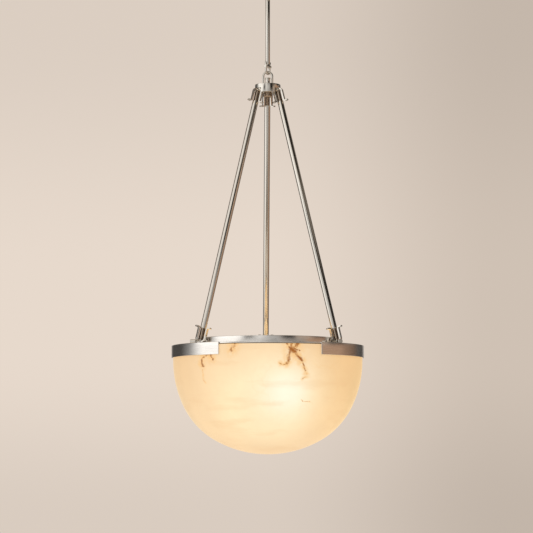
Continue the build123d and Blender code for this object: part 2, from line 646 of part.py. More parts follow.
def bowl_centre_line(inset):
    """Outline of the bowl from its upper edge to its lowest point, moved in from the outer face."""
    side = math.radians(BOWL_SIDE_TURN)
    shoulder = math.radians(BOWL_SHOULDER_TURN)
    side_r = BOWL_SIDE_R - inset
    shoulder_r = BOWL_SHOULDER_R - inset
    start_r = BOWL_R - inset
    first_r = start_r - side_r * (1 - math.cos(side))
    second_r = first_r - shoulder_r * (math.cos(side) - math.cos(shoulder))
    base_r = second_r / math.cos(shoulder)
    second_z = BOWL_BOTTOM_Z + inset + base_r * (1 - math.sin(shoulder))
    first_z = second_z + shoulder_r * (math.sin(shoulder) - math.sin(side))
    start_z = first_z + side_r * math.sin(side)
    return [(start_r, start_z), (first_r, first_z), (second_r, second_z), (0, BOWL_BOTTOM_Z + inset)]


def bowl_solid(inset, top):
    """Solid of revolution inside the bowl's outline."""
    start, first, second, bottom = bowl_centre_line(inset)
    shape = BuildSketch(Plane.XZ)
    with shape:
        with BuildLine():
            Line((0, top), (start[0], top))
            Line((start[0], top), start)
            one = TangentArc(start, first, tangent=(0, -1))
            two = TangentArc(first, second, tangent=one % 1)
            TangentArc(second, bottom, tangent=two % 1)
            Line(bottom, (0, top))
        make_face()
    return revolve(shape.sketch, Axis.Z)


def inner_wall_r(z):
    """Inner radius of the bowl at a height on its side arc."""
    start_r, start_z = bowl_centre_line(BOWL_T)[0]
    drop = max(0.0, start_z - z)
    side_r = BOWL_SIDE_R - BOWL_T
    return start_r - side_r + math.sqrt(side_r * side_r - drop * drop)


def alabaster_bowl():
    body = bowl_solid(0, BOWL_TOP_Z) - bowl_solid(BOWL_T, BOWL_TOP_Z + OVERCUT)
    body = fillet(body.edges().group_by(Axis.Z)[-1], BOWL_LIP_EDGE)
    for place in stud_places():
        body -= place * rod(PAD_STUD_R + SCREW_GAP + STUD_BUSH_T, -2 * BOWL_T, BOWL_T)
    return body


def rim_gasket():
    return tube(GASKET_R, GASKET_BORE_R, BOWL_TOP_Z, FLANGE_BOTTOM_Z)


def washer_face_r():
    """Radius of the washer's outer face, which bridges the round wall."""
    wall = inner_wall_r(PAD_STUD_Z)
    return math.sqrt(wall * wall - STUD_WASHER_R * STUD_WASHER_R) - BOWL_WASHER_GAP / 2


def stud_washers():
    face = washer_face_r() - PAD_INNER_R
    washer = tube(STUD_WASHER_R, PAD_STUD_R + SCREW_GAP, face - STUD_WASHER_T, face)
    return [place * washer for place in stud_places()]


def stud_nuts():
    face = washer_face_r() - PAD_INNER_R - STUD_WASHER_T
    one = nut(STUD_NUT_AF, PAD_STUD_R + SCREW_GAP, face - STUD_NUT_T, face)
    return [place * one for place in stud_places()]


def pad_studs():
    end = washer_face_r() - PAD_INNER_R - STUD_WASHER_T - STUD_NUT_T - PAD_STUD_SPARE
    stud = rod(PAD_STUD_R, end, 0)
    trim = rod(PAD_INNER_R, PAD_STUD_Z - 2 * PAD_STUD_R, PAD_STUD_Z + 2 * PAD_STUD_R)
    return [place * stud & trim for place in stud_places()]


def stud_bushes():
    """Rubber sleeves round the studs in the bowl's wall."""
    sleeve = tube(PAD_STUD_R + SCREW_GAP + STUD_BUSH_T, PAD_STUD_R + SCREW_GAP, -2 * BOWL_T, 0)
    low = PAD_STUD_Z - 2 * STUD_WASHER_R
    high = PAD_STUD_Z + 2 * STUD_WASHER_R
    wall = tube(BOWL_R, inner_wall_r(PAD_STUD_Z), low, high)
    return [place * sleeve & wall for place in stud_places()]


# ---------------------------------------------------------------- lamps inside the bowl
def lamp_spider():
    """Flat plate with three legs, screwed up under the flange."""
    plate = rod(SPIDER_PLATE_R, SPIDER_BOTTOM_Z, FLANGE_BOTTOM_Z)
    leg = Pos(SPIDER_REACH / 2, 0, SPIDER_BOTTOM_Z + SPIDER_T / 2) * Box(SPIDER_REACH, SPIDER_LEG_W, SPIDER_T)
    hole = rod(SPIDER_SCREW_R + SCREW_GAP, SPIDER_BOTTOM_Z - OVERCUT, FLANGE_BOTTOM_Z + OVERCUT, SPIDER_SCREW_AT_R)
    for angle in SPIDER_ANGLES:
        plate += around(leg, angle)
    for angle in SPIDER_ANGLES:
        plate -= around(hole, angle)
    return plate - rod(CLUSTER_STEM_R + SCREW_GAP, SPIDER_BOTTOM_Z - OVERCUT, FLANGE_BOTTOM_Z + OVERCUT)


def spider_screws():
    length = SPIDER_T + SPIDER_SCREW_DEPTH
    screw = headed_screw(SPIDER_SCREW_R, SPIDER_SCREW_HEAD_R, SPIDER_SCREW_HEAD_T, length)
    place = Pos(SPIDER_SCREW_AT_R, 0, SPIDER_BOTTOM_Z) * Rot(180, 0, 0)
    return [around(place * screw, angle) for angle in SPIDER_ANGLES]


def cluster_stem():
    low = CLUSTER_TOP_Z - 2 * CLUSTER_T
    return tube(CLUSTER_STEM_R, CLUSTER_STEM_BORE_R, low, FLANGE_BOTTOM_Z + CLUSTER_STEM_RISE)


def cluster_nuts():
    bore = CLUSTER_STEM_R + SCREW_GAP
    above = nut(CLUSTER_NUT_AF, bore, FLANGE_BOTTOM_Z, FLANGE_BOTTOM_Z + CLUSTER_NUT_T)
    below = nut(CLUSTER_NUT_AF, bore, SPIDER_BOTTOM_Z - CLUSTER_NUT_T, SPIDER_BOTTOM_Z)
    lower = nut(CLUSTER_NUT_AF, bore, CLUSTER_TOP_Z, CLUSTER_TOP_Z + CLUSTER_NUT_T)
    return [above, below, lower]


def lamp_frame(angle, station):
    """Place on a lamp's axis, with its own Z pointing away from the cluster."""
    return Rot(0, 0, angle) * Pos(0, 0, LAMP_Z) * Rot(0, 90 + LAMP_DIP, 0) * Pos(0, 0, station)


def cluster_body():
    """Round housing that the three lamp holders screw into."""
    low = CLUSTER_TOP_Z - CLUSTER_H
    shell = rod(CLUSTER_R, low, CLUSTER_TOP_Z)
    shell = fillet(shell.edges().filter_by(GeomType.CIRCLE), CLUSTER_EDGE)
    shell -= rod(CLUSTER_R - CLUSTER_T, low + CLUSTER_T, CLUSTER_TOP_Z - CLUSTER_T)
    shell -= rod(CLUSTER_STEM_R + SCREW_GAP, CLUSTER_TOP_Z - CLUSTER_H / 2, CLUSTER_TOP_Z + OVERCUT)
    for angle in LAMP_ANGLES:
        shell -= lamp_frame(angle, 0) * rod(HOLDER_TAIL_R + SCREW_GAP, 0, 2 * CLUSTER_R)
    return shell


def lamp_holder(angle):
    """Holder with a threaded tail in the cluster and a deep round mouth for the lamp's cap."""
    body = rod(HOLDER_R, HOLDER_START, HOLDER_START + HOLDER_LENGTH)
    body = fillet(body.edges().filter_by(GeomType.CIRCLE), CLUSTER_T)
    mouth = HOLDER_START + HOLDER_LENGTH - HOLDER_BORE_DEPTH
    body -= rod(HOLDER_BORE_R, mouth, HOLDER_START + HOLDER_LENGTH + OVERCUT)
    body += rod(HOLDER_TAIL_R, CLUSTER_R - HOLDER_TAIL_DEPTH, HOLDER_START + CLUSTER_T)
    return lamp_frame(angle, 0) * body


def lamp_cap(angle):
    """Screw cap of a lamp, seated in its holder."""
    start = HOLDER_START + HOLDER_LENGTH - HOLDER_BORE_DEPTH
    body = rod(LAMP_CAP_R, start, start + LAMP_CAP_LENGTH)
    return lamp_frame(angle, 0) * fillet(body.edges().group_by(Axis.Z)[0], CLUSTER_T)


def lamp_globe(angle):
    """Frosted globe with its neck, from the cap outwards."""
    start = HOLDER_START + HOLDER_LENGTH - HOLDER_BORE_DEPTH + LAMP_CAP_LENGTH
    centre = start + GLOBE_OFFSET
    touch = math.acos(GLOBE_NECK_R / GLOBE_R)
    waist = (GLOBE_R * math.sin(touch + GLOBE_WAIST_TURN), centre - GLOBE_R * math.cos(touch + GLOBE_WAIST_TURN))
    with BuildSketch(Plane.XZ) as section:
        with BuildLine():
            Line((0, start), (LAMP_CAP_R, start))
            Line((LAMP_CAP_R, start), (GLOBE_NECK_R, start + LAMP_CAP_R))
            neck = TangentArc((GLOBE_NECK_R, start + LAMP_CAP_R), waist, tangent=(0, 1))
            ThreePointArc(waist, (GLOBE_R, centre), (0, centre + GLOBE_R))
            Line((0, centre + GLOBE_R), (0, start))
        make_face()
    return lamp_frame(angle, 0) * revolve(section.sketch, Axis.Z)


# ---------------------------------------------------------------- all nodes
NODES = {
    "mounting_strap": mounting_strap(),
    "threaded_nipple": threaded_nipple(),
    "strap_locknut": strap_locknut(),
    "ground_screw": ground_screw(),
    "canopy": canopy(),
    "slip_ring": slip_ring(),
    "slip_ring_screw": slip_ring_screw(),
    "stem_coupling": stem_coupling(),
    "stem_tube": stem_tube(),
    "stem_tip": stem_tip(),
    "shackle_pin": shackle_pin(),
    "shackle": shackle(),
    "hub_loop": hub_loop(),
    "loop_nuts": loop_nuts(),
    "wire_bushing": wire_bushing(),
    "hub_cap": hub_cap(),
    "hub_body": hub_body(),
    "hub_finial": hub_finial(),
    "hub_arm_screws": hub_arm_screws(),
    "arm_studs": arm_studs(),
    "foot_screws": foot_screws(),
    "foot_lock_screws": foot_lock_screws(),
    "flange_ring": flange_ring(),
    "collar_ring": collar_ring(),
    "pad_studs": pad_studs(),
    "stud_bushes": stud_bushes(),
    "stud_washers": stud_washers(),
    "stud_nuts": stud_nuts(),
    "rim_gasket": rim_gasket(),
    "alabaster_bowl": alabaster_bowl(),
    "lamp_spider": lamp_spider(),
    "spider_screws": spider_screws(),
    "cluster_stem": cluster_stem(),
    "cluster_nuts": cluster_nuts(),
    "cluster_body": cluster_body(),
    "lamp_holders": [lamp_holder(angle) for angle in LAMP_ANGLES],
    "lamp_caps": [lamp_cap(angle) for angle in LAMP_ANGLES],
    "lamp_globes": [lamp_globe(angle) for angle in LAMP_ANGLES],
}
CLASP = clasp()
KNUCKLE = knuckle()
TUBE = arm_tube()
for name, angle in ARM_ANGLES.items():
    NODES[f"upper_clasp_{name}"] = arm_frame(angle, 0) * CLASP
    NODES[f"upper_knuckle_{name}"] = arm_frame(angle, 0) * KNUCKLE
    NODES[f"arm_tube_{name}"] = arm_frame(angle, 0) * TUBE
    NODES[f"lower_knuckle_{name}"] = foot_frame(angle) * KNUCKLE
    NODES[f"lower_clasp_{name}"] = lower_clasp(angle)
    NODES[f"arm_foot_{name}"] = arm_foot(angle)
    NODES[f"rim_pad_{name}"] = rim_pad(angle)

os.makedirs("parts", exist_ok=True)
for name, shape in NODES.items():
    solids = shape if isinstance(shape, list) else [shape]
    flat = [solid for item in solids for solid in item.solids()]
    export_step(flat[0] if len(flat) == 1 else Compound(children=flat), f"parts/{name}.step")
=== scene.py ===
"""Alabaster bowl pendant: finishes, finely made pieces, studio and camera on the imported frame."""

from __future__ import annotations

import logging
import math
from dataclasses import dataclass, field
from enum import Enum
from typing import Iterable, Union

import bmesh
import bpy
from mathutils import Matrix, Vector


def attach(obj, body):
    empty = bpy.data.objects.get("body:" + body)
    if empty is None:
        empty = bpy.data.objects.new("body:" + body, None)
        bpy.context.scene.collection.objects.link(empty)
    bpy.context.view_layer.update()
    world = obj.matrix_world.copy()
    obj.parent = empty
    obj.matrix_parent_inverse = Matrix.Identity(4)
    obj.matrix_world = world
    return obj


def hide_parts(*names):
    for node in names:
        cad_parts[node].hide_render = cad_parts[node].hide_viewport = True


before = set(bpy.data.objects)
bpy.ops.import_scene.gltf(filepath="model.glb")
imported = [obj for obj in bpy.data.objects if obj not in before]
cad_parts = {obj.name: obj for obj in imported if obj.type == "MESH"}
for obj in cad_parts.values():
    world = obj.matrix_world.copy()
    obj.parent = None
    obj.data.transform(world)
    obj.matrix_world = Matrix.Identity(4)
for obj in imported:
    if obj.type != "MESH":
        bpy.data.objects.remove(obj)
LOG = logging.getLogger("pendant")
MM = 0.001
FRONT = -90.0  # degrees from +X
FULL = 360.0  # degrees of a whole turn
ON_AXIS = 1e-6  # this and the next three are distances of the mesh work, in millimetres
SLIVER = 1e-5
DOUBLES = 1e-4
LOOSE = 1e-3
CRISP = math.radians(40.0)  # edges sharper than this aren't shaded smooth
ARMS: dict[str, float] = {"back": 90.0, "left": 210.0, "right": 330.0}

Number = Union[float, int]
Colour = tuple[float, float, float]
Place = tuple[float, float, float]
Rounds = dict[int, float]
Settings = dict[str, object]


class Body(Enum):
    """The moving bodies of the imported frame."""

    CEILING = "ceiling_mount"
    CANOPY = "canopy"
    SHACKLE = "shackle"
    PENDANT = "pendant"


class Slot(Enum):
    """Material slots of the finishes."""

    POLISHED = "polished_nickel"
    BRUSHED = "brushed_nickel"
    ZINC = "zinc_steel"
    GREEN = "green_steel"
    STONE = "alabaster"
    RUBBER = "rubber"
    PORCELAIN = "porcelain"
    LAMP_CAP = "lamp_cap_metal"
    LAMP = "frosted_lamp"


# ---- shader building
class Wire:
    """A shader socket that takes part in Python sums."""

    def __init__(self, bench: Bench, socket: bpy.types.NodeSocket) -> None:
        """Keep the socket and the bench that adds nodes for it."""
        self.bench = bench
        self.socket = socket

    def maths(self, operation: str, *others: Wire | Number, swapped: bool = False) -> Wire:
        """Add one Math node; swapped puts this wire last."""
        values = [*others, self] if swapped else [self, *others]
        return self.bench.value("ShaderNodeMath", {"operation": operation}, dict(enumerate(values)))

    def __add__(self, other: Wire | Number) -> Wire:
        """Sum."""
        return self.maths("ADD", other)

    __radd__ = __add__

    def __sub__(self, other: Wire | Number) -> Wire:
        """Difference."""
        return self.maths("SUBTRACT", other)

    def __rsub__(self, other: Number) -> Wire:
        """Reflected difference."""
        return self.maths("SUBTRACT", other, swapped=True)

    def __mul__(self, other: Wire | Number) -> Wire:
        """Product."""
        return self.maths("MULTIPLY", other)

    __rmul__ = __mul__

    def __truediv__(self, other: Wire | Number) -> Wire:
        """Quotient."""
        return self.maths("DIVIDE", other)

    def __rtruediv__(self, other: Number) -> Wire:
        """Reflected quotient."""
        return self.maths("DIVIDE", other, swapped=True)

    def __pow__(self, other: Number) -> Wire:
        """Power."""
        return self.maths("POWER", other)

    def clamped(self) -> Wire:
        """The value kept between 0 and 1."""
        return self.maths("MAXIMUM", 0.0).maths("MINIMUM", 1.0)

    def ramped(self, low: float, high: float) -> Wire:
        """Smooth step from 0 at low to 1 at high; high may be the smaller one."""
        return self.bench.value(
            "ShaderNodeMapRange",
            {"interpolation_type": "SMOOTHSTEP", "clamp": True},
            {"Value": self, "From Min": low, "From Max": high, "To Min": 0.0, "To Max": 1.0},
        )


Value = Union[Wire, Number, tuple, bpy.types.NodeSocket]
Sockets = dict[object, Value]


class Bench:
    """Adds shader nodes to one node tree."""

    def __init__(self, tree: bpy.types.NodeTree) -> None:
        """Empty the tree."""
        self.tree = tree
        tree.nodes.clear()

    def node(
        self, kind: str, settings: Settings | None = None, sockets: Sockets | None = None
    ) -> bpy.types.Node:
        """Add one node.

        Args:
            kind: The node's type.
            settings: Its own settings; stops is a ramp's list of place and colour.
            sockets: Values or wires of its input sockets, by name or number.

        Returns:
            The node.
        """
        made = self.tree.nodes.new(kind)
        for name, value in (settings or {}).items():
            if name == "stops":
                self._stops(made, value)
            else:
                setattr(made, name, value)
        for key, value in (sockets or {}).items():
            self.plug(made.inputs[key], value)
        return made

    def plug(self, target: bpy.types.NodeSocket, value: Value) -> None:
        """Link a wire to an input socket, or set the socket to a value.

        Args:
            target: The input socket.
            value: What feeds it; a colour of three numbers is made opaque.
        """
        source = value.socket if isinstance(value, Wire) else value
        if isinstance(source, bpy.types.NodeSocket):
            self.tree.links.new(source, target)
        elif target.type == "RGBA" and len(source) == 3:
            target.default_value = (*source, 1.0)
        else:
            target.default_value = source

    @staticmethod
    def _stops(node: bpy.types.Node, stops: list[tuple[float, Colour]]) -> None:
        """Give a colour ramp its stops.

        Args:
            node: The ramp.
            stops: Each stop's place and colour.
        """
        elements = node.color_ramp.elements
        while len(elements) < len(stops):
            elements.new(0.5)
        for element, (place, colour) in zip(elements, stops):
            element.position = place
            element.color = (*colour, 1.0)

    def value(
        self, kind: str, settings: Settings | None = None, sockets: Sockets | None = None, output: object = 0
    ) -> Wire:
        """Add one node and return the wire of one of its outputs."""
        return Wire(self, self.node(kind, settings, sockets).outputs[output])

    def here(self) -> Wire:
        """Object coordinates, in metres."""
        return self.value("ShaderNodeTexCoord", output="Object")

    def parts(self, vector: Wire) -> tuple[Wire, ...]:
        """The X, Y and Z of a vector."""
        split = self.node("ShaderNodeSeparateXYZ", None, {0: vector})
        return tuple(Wire(self, socket) for socket in split.outputs)

    def joined(self, x: Value, y: Value, z: Value) -> Wire:
        """A vector of three values."""
        return self.value("ShaderNodeCombineXYZ", None, {0: x, 1: y, 2: z})

    def vector(self, operation: str, *values: Value, output: object = 0) -> Wire:
        """Add one Vector Math node."""
        return self.value("ShaderNodeVectorMath", {"operation": operation}, dict(enumerate(values)), output)

    def length(self, vector: Wire) -> Wire:
        """The length of a vector."""
        return self.vector("LENGTH", vector, output="Value")

    def gap(self, first: Value, second: Value) -> Wire:
        """The distance between two points."""
        return self.vector("DISTANCE", first, second, output="Value")

    def scaled(self, vector: Wire, factor: Value) -> Wire:
        """A vector times a value."""
        return self.value("ShaderNodeVectorMath", {"operation": "SCALE"}, {0: vector, "Scale": factor})

    def noise(
        self, vector: Wire, scale: float, detail: float = 2.0, rough: float = 0.5, output: object = 0
    ) -> Wire:
        """Noise from 0 to 1 about a middle of a half."""
        sockets = {"Vector": vector, "Scale": scale, "Detail": detail, "Roughness": rough}
        return self.value("ShaderNodeTexNoise", None, sockets, output)

    def mixed(self, share: Value, first: Value, second: Value, blend: str = "MIX") -> Wire:
        """Mix of two colours."""
        settings = {"data_type": "RGBA", "blend_type": blend}
        return self.value("ShaderNodeMix", settings, {0: share, 6: first, 7: second}, 2)

    def relief(self, height: Wire, depth: float, strength: float = 1.0) -> Wire:
        """Normal of a height pattern from 0 to 1, whose depth is in metres."""
        return self.value("ShaderNodeBump", None, {"Strength": strength, "Distance": depth, "Height": height})


@dataclass(frozen=True)
class Finish:
    """A surface finish; each kind draws its own pattern."""

    name: str
    slot: Slot | None = None

    def material(self) -> bpy.types.Material:
        """The finish's material, made once."""
        found = bpy.data.materials.get(self.name)
        if found is not None:
            return found
        made = bpy.data.materials.new(self.name)
        made.use_nodes = True
        bench = Bench(made.node_tree)
        surface = bench.node("ShaderNodeBsdfPrincipled", None, self.draw(bench))
        bench.node("ShaderNodeOutputMaterial", None, {"Surface": surface.outputs[0]})
        return made

    def draw(self, bench: Bench) -> Sockets:
        """What feeds the surface's sockets.

        Args:
            bench: The material's bench.

        Returns:
            The value or wire of each socket, by the socket's name.
        """
        raise NotImplementedError


@dataclass(frozen=True)
class PolishedNickel(Finish):
    """Mirror-bright plated metal with faint haze patches and the slightest orange-peel."""

    colour: Colour = (0.93, 0.90, 0.86)
    haze: Colour = (0.80, 0.745, 0.68)
    roughness: float = 0.05
    spread: float = 0.03
    middle: float = 0.02
    patch_scale: float = 38.0
    hair_scale: float = 1400.0
    hair_run: float = 0.06
    peel_scale: float = 120.0
    peel_depth: float = 0.000003

    def draw(self, bench: Bench) -> Sockets:
        """What feeds the surface's sockets."""
        here = bench.here()
        patches = bench.noise(here, self.patch_scale, 3.0, 0.6).ramped(0.45, 0.8)
        stretched = bench.vector("MULTIPLY", here, (1.0, 1.0, self.hair_run))
        hairs = bench.noise(stretched, self.hair_scale, 2.0, 0.7)
        return {
            "Base Color": bench.mixed(patches * 0.3, self.colour, self.haze),
            "Metallic": 1.0,
            "Roughness": patches * self.spread + hairs * self.spread + (self.roughness - self.middle),
            "Normal": bench.relief(bench.noise(here, self.peel_scale, 1.0), self.peel_depth),
        }


@dataclass(frozen=True)
class BrushedNickel(Finish):
    """Satin plated metal whose fine grain runs round the ring's axis."""

    colour: Colour = (0.95, 0.92, 0.885)
    dark: Colour = (0.80, 0.76, 0.71)
    roughness: float = 0.17
    middle: float = 0.07
    lines: float = 1500.0
    round_scale: float = 9.0
    broad_scale: float = 3.0
    broad_rise: float = 90.0
    grain_depth: float = 0.00002

    def draw(self, bench: Bench) -> Sockets:
        """What feeds the surface's sockets."""
        x, y, z = bench.parts(bench.here())
        flat = bench.joined(x, y, 0.0)
        way = bench.vector("NORMALIZE", flat)
        across = bench.joined(0.0, 0.0, (z + bench.length(flat)) * self.lines)
        grain = bench.noise(bench.vector("ADD", bench.scaled(way, self.round_scale), across), 1.0, 4.0, 0.75)
        rise = bench.joined(0.0, 0.0, z * self.broad_rise)
        broad = bench.noise(bench.vector("ADD", bench.scaled(way, self.broad_scale), rise), 1.0)
        return {
            "Base Color": bench.mixed(grain.ramped(0.3, 0.7), self.dark, self.colour),
            "Metallic": 1.0,
            "Roughness": grain * 0.08 + broad * 0.06 + (self.roughness - self.middle),
            "Normal": bench.relief(grain, self.grain_depth, 0.5),
        }


@dataclass(frozen=True)
class PlainMetal(Finish):
    """Dull plated or painted metal with a fine mottle."""

    colour: Colour = (0.55, 0.56, 0.57)
    dark: Colour = (0.40, 0.41, 0.43)
    roughness: float = 0.36
    metallic: float = 1.0
    middle: float = 0.1
    mottle_scale: float = 420.0
    streaks: tuple[float, float, float] = (900.0, 120.0, 900.0)
    depth: float = 0.00003

    def draw(self, bench: Bench) -> Sockets:
        """What feeds the surface's sockets."""
        here = bench.here()
        mottle = bench.noise(here, self.mottle_scale, 4.0, 0.65)
        streak = bench.noise(bench.vector("MULTIPLY", here, self.streaks), 1.0)
        return {
            "Base Color": bench.mixed(mottle.ramped(0.35, 0.7), self.dark, self.colour),
            "Metallic": self.metallic,
            "Roughness": mottle * 0.15 + streak * 0.06 + (self.roughness - self.middle),
            "Normal": bench.relief(mottle * 0.6 + streak * 0.4, self.depth, 0.7),
        }


@dataclass(frozen=True)
class MouldedSkin(Finish):
    """Moulded or glazed surface with a fine skin and a second colour that comes and goes."""

    colour: Colour = (0.022, 0.021, 0.020)
    second: Colour = (0.05, 0.048, 0.045)
    skin: tuple[float, ...] = (1500.0, 3.0, 0.7)
    bloom: tuple[float, ...] = (90.0, 2.0)
    bloom_range: tuple[float, float] = (0.4, 0.7)
    roughness: float = 0.62
    spread: float = 0.2
    depth: float = 0.00005
    relief: float = 0.7
    coat: float = 0.0

    def draw(self, bench: Bench) -> Sockets:
        """What feeds the surface's sockets."""
        here = bench.here()
        skin = bench.noise(here, *self.skin)
        bloom = bench.noise(here, *self.bloom).ramped(*self.bloom_range)
        return {
            "Base Color": bench.mixed(bloom, self.colour, self.second),
            "Roughness": skin * self.spread + self.roughness,
            "Coat Weight": self.coat,
            "Normal": bench.relief(skin, self.depth, self.relief),
        }


@dataclass(frozen=True)
class FrostedLamp(Finish):
    """Inside-frosted lamp glass that glows, dimmer towards its neck."""

    colour: Colour = (0.86, 0.80, 0.70)
    glow: Colour = (1.0, 0.78, 0.47)
    strength: float = 1.8
    neck: float = 0.060
    crown: float = 0.095
    cloud_scale: float = 45.0

    def draw(self, bench: Bench) -> Sockets:
        """What feeds the surface's sockets."""
        here = bench.here()
        cloud = bench.noise(here, self.cloud_scale)
        x, y, _z = bench.parts(here)
        out = bench.length(bench.joined(x, y, 0.0)).ramped(self.neck, self.crown)
        gain = out * 0.75 + cloud * 0.1 + 0.15
        return {
            "Base Color": self.colour,
            "Roughness": cloud * 0.15 + 0.35,
            "Emission Color": bench.vector("MULTIPLY", bench.joined(gain, gain, gain), self.glow),
            "Emission Strength": self.strength,
        }


@dataclass(frozen=True)
class LitAlabaster(Finish):
    """Honed translucent stone with rust-brown veins and cloudy bands; the lamps' light through it is painted
    in as a glow.
    """

    # The stone's own colour, kept dark so that the painted glow carries the brightness.
    stone: Colour = (0.34, 0.27, 0.19)
    # Colours of the painted glow of the lamps through the stone, from the dim orange rim to the hot pale core
    # beside the lamps.
    rim_glow: Colour = (0.52, 0.28, 0.10)
    mid_glow: Colour = (0.77, 0.60, 0.36)
    core_glow: Colour = (0.78, 0.77, 0.62)
    # Tint of the painted glow towards the right side.
    amber: Colour = (1.0, 0.93, 0.76)
    vein: Colour = (0.28, 0.08, 0.0)
    halo: Colour = (0.64, 0.34, 0.08)
    stained: Colour = (0.10, 0.03, 0.002)
    # Places and reaches of the painted hot spots right beside the lamps and of the broader painted glows
    # round them.
    hot_spots: tuple[Place, ...] = ()
    glows: tuple[Place, ...] = ()
    hot_spot_reach: float = 0.046
    glow_reach: float = 0.122
    veins: tuple[tuple[Place, Place, float], ...] = ()
    wander_scale: float = 34.0
    wander: float = 0.013
    tremor_scale: float = 130.0
    tremor: float = 0.009
    blotch_scale: float = 120.0
    fray: float = 3.4  # how many half widths the blotches move a vein's edge
    far: float = 9.0  # half widths from a vein beyond which nothing shows
    band_scales: tuple[float, float, float] = (7.0, 7.0, 42.0)

    def draw(self, bench: Bench) -> Sockets:
        """What feeds the surface's sockets."""
        here = bench.here()
        drift = bench.noise(here, 9.0, 3.0, 0.55)
        fine = bench.noise(here, 60.0, 4.0, 0.6)
        bent = self._shaken(bench, here, here, self.wander_scale, 4.0, self.wander)
        frayed = self._shaken(bench, bent, here, self.tremor_scale, 3.0, self.tremor)
        blotch = bench.noise(here, self.blotch_scale, 4.0, 0.65)
        reach = self._reach(bench, frayed) + (blotch - 0.5) * self.fray
        cracks = reach.ramped(1.5, -0.1)
        stain = reach.ramped(5.4, 0.5) * blotch.ramped(0.30, 0.6) * 0.9
        haloes = (stain + self._net(bench, bent) * 0.14).clamped()
        cloud = (drift - 0.5) * 0.22 + (fine - 0.5) * 0.10 + 1.0
        # Painted light: the emission stands in for the lamps' light through the stone, dim and orange far
        # from the lamps, hot and pale beside them.
        glow = bench.mixed(self._heat(bench, here, self.glows, self.glow_reach), self.rim_glow, self.mid_glow)
        glow = bench.mixed(self._heat(bench, here, self.hot_spots, self.hot_spot_reach), glow, self.core_glow)
        # Painted light: the glow turns more amber towards the right side.
        warmth = bench.mixed(bench.parts(here)[0].ramped(0.05, 0.17), (1.0, 1.0, 1.0), self.amber)
        glow = bench.mixed(1.0, bench.scaled(glow, cloud), warmth, "MULTIPLY")
        glow = bench.mixed(self._bands(bench, bent) * 0.20, glow, self.rim_glow)
        glow = bench.mixed(haloes, glow, self.halo)
        return {
            "Base Color": bench.mixed(cracks * 0.9, self.stone, self.stained),
            "Roughness": fine * 0.12 + 0.3,
            "Emission Color": bench.mixed(cracks, glow, self.vein),
            "Emission Strength": 1.0,
            "Normal": bench.relief(fine * 0.7 + drift * 0.3, 0.0002, 0.35),
        }

    @staticmethod
    def _shaken(bench: Bench, start: Wire, here: Wire, scale: float, detail: float, throw: float) -> Wire:
        """Points pushed about by noise, by up to half a throw each way."""
        push = bench.vector("SUBTRACT", bench.noise(here, scale, detail, output="Color"), (0.5, 0.5, 0.5))
        return bench.vector("ADD", start, bench.scaled(push, throw))

    @staticmethod
    def _heat(bench: Bench, here: Wire, places: tuple[Place, ...], reach: float) -> Wire:
        """How strongly the lamps light each point, from 0 to 1; at the reach from a place it is a half."""
        shares = (1.0 / ((bench.gap(here, place) / reach) ** 3.0 + 1.0) for place in places)
        return sum(shares, 0.0).clamped()

    def _reach(self, bench: Bench, points: Wire) -> Wire:
        """How far each point lies from the nearest drawn vein.

        Args:
            bench: The material's bench.
            points: The points.

        Returns:
            The wire of the distance, in that vein's half widths.
        """
        nearest: Value = self.far
        for start, end, width in self.veins:
            run = Vector(end) - Vector(start)
            offset = bench.vector("SUBTRACT", points, start)
            share = bench.vector("DOT_PRODUCT", offset, tuple(run / run.length_squared), output="Value")
            foot = bench.scaled(bench.joined(*run), share.clamped())
            nearest = (bench.gap(offset, foot) / width).maths("MINIMUM", nearest)
        return nearest

    @staticmethod
    def _net(bench: Bench, bent: Wire) -> Wire:
        """A thin net of weak veins, from 0 to 1."""
        net = bench.noise(bent, 11.0, 3.0, 0.6) - 0.5
        return net.maths("ABSOLUTE").ramped(0.02, 0.0) * bench.noise(bent, 5.0, 1.0).ramped(0.52, 0.7)

    def _bands(self, bench: Bench, bent: Wire) -> Wire:
        """Cloudy, nearly level bands of denser stone, from 0 to 1."""
        return bench.noise(bench.vector("MULTIPLY", bent, self.band_scales), 1.0, 3.0, 0.55).ramped(0.5, 0.72)


@dataclass(frozen=True)
class FloorPaint(Finish):
    """Plain pale paint of the studio's floor."""

    colour: Colour = (0.80, 0.72, 0.63)

    def draw(self, bench: Bench) -> Sockets:
        """What feeds the surface's sockets."""
        return {"Base Color": self.colour, "Roughness": 0.8}


class Finishes:
    """Every finish of the pendant."""

    nickel = PolishedNickel("polished_nickel", Slot.POLISHED)
    # Darker, browner copy of the polished nickel: painted shade on the knuckles inside the clasps and a
    # painted reflection of the glowing bowl on the knob under the hub.
    nickel_painted_shade_and_reflection = PolishedNickel("nickel_painted_shade_and_reflection", Slot.POLISHED, (0.44, 0.35, 0.27), (0.30, 0.22, 0.16), 0.30)
    ring = BrushedNickel("ring_nickel", Slot.BRUSHED)
    zinc = PlainMetal("dull_zinc", Slot.ZINC)
    green = PlainMetal("green_screw", Slot.GREEN, (0.06, 0.22, 0.09), (0.03, 0.12, 0.05), 0.4, 0.3)
    rubber = MouldedSkin("black_rubber", Slot.RUBBER)
    porcelain = MouldedSkin(
        "white_porcelain", Slot.PORCELAIN, (0.80, 0.77, 0.71), (0.55, 0.50, 0.43), (60.0,), (900.0, 1.0),
        (0.74, 0.8), 0.12, 0.1, 0.00015, 0.5, 0.5,
    )
    lamp_cap = PlainMetal("lamp_cap_shell", Slot.LAMP_CAP, (0.72, 0.72, 0.73), (0.5, 0.5, 0.5), 0.28)
    lamp = FrostedLamp("frosted_lamp_glass", Slot.LAMP)


# ---- mesh building
def about(axis: str, angle: float) -> Matrix:
    """A turn about an axis, in degrees."""
    return Matrix.Rotation(math.radians(angle), 4, axis)


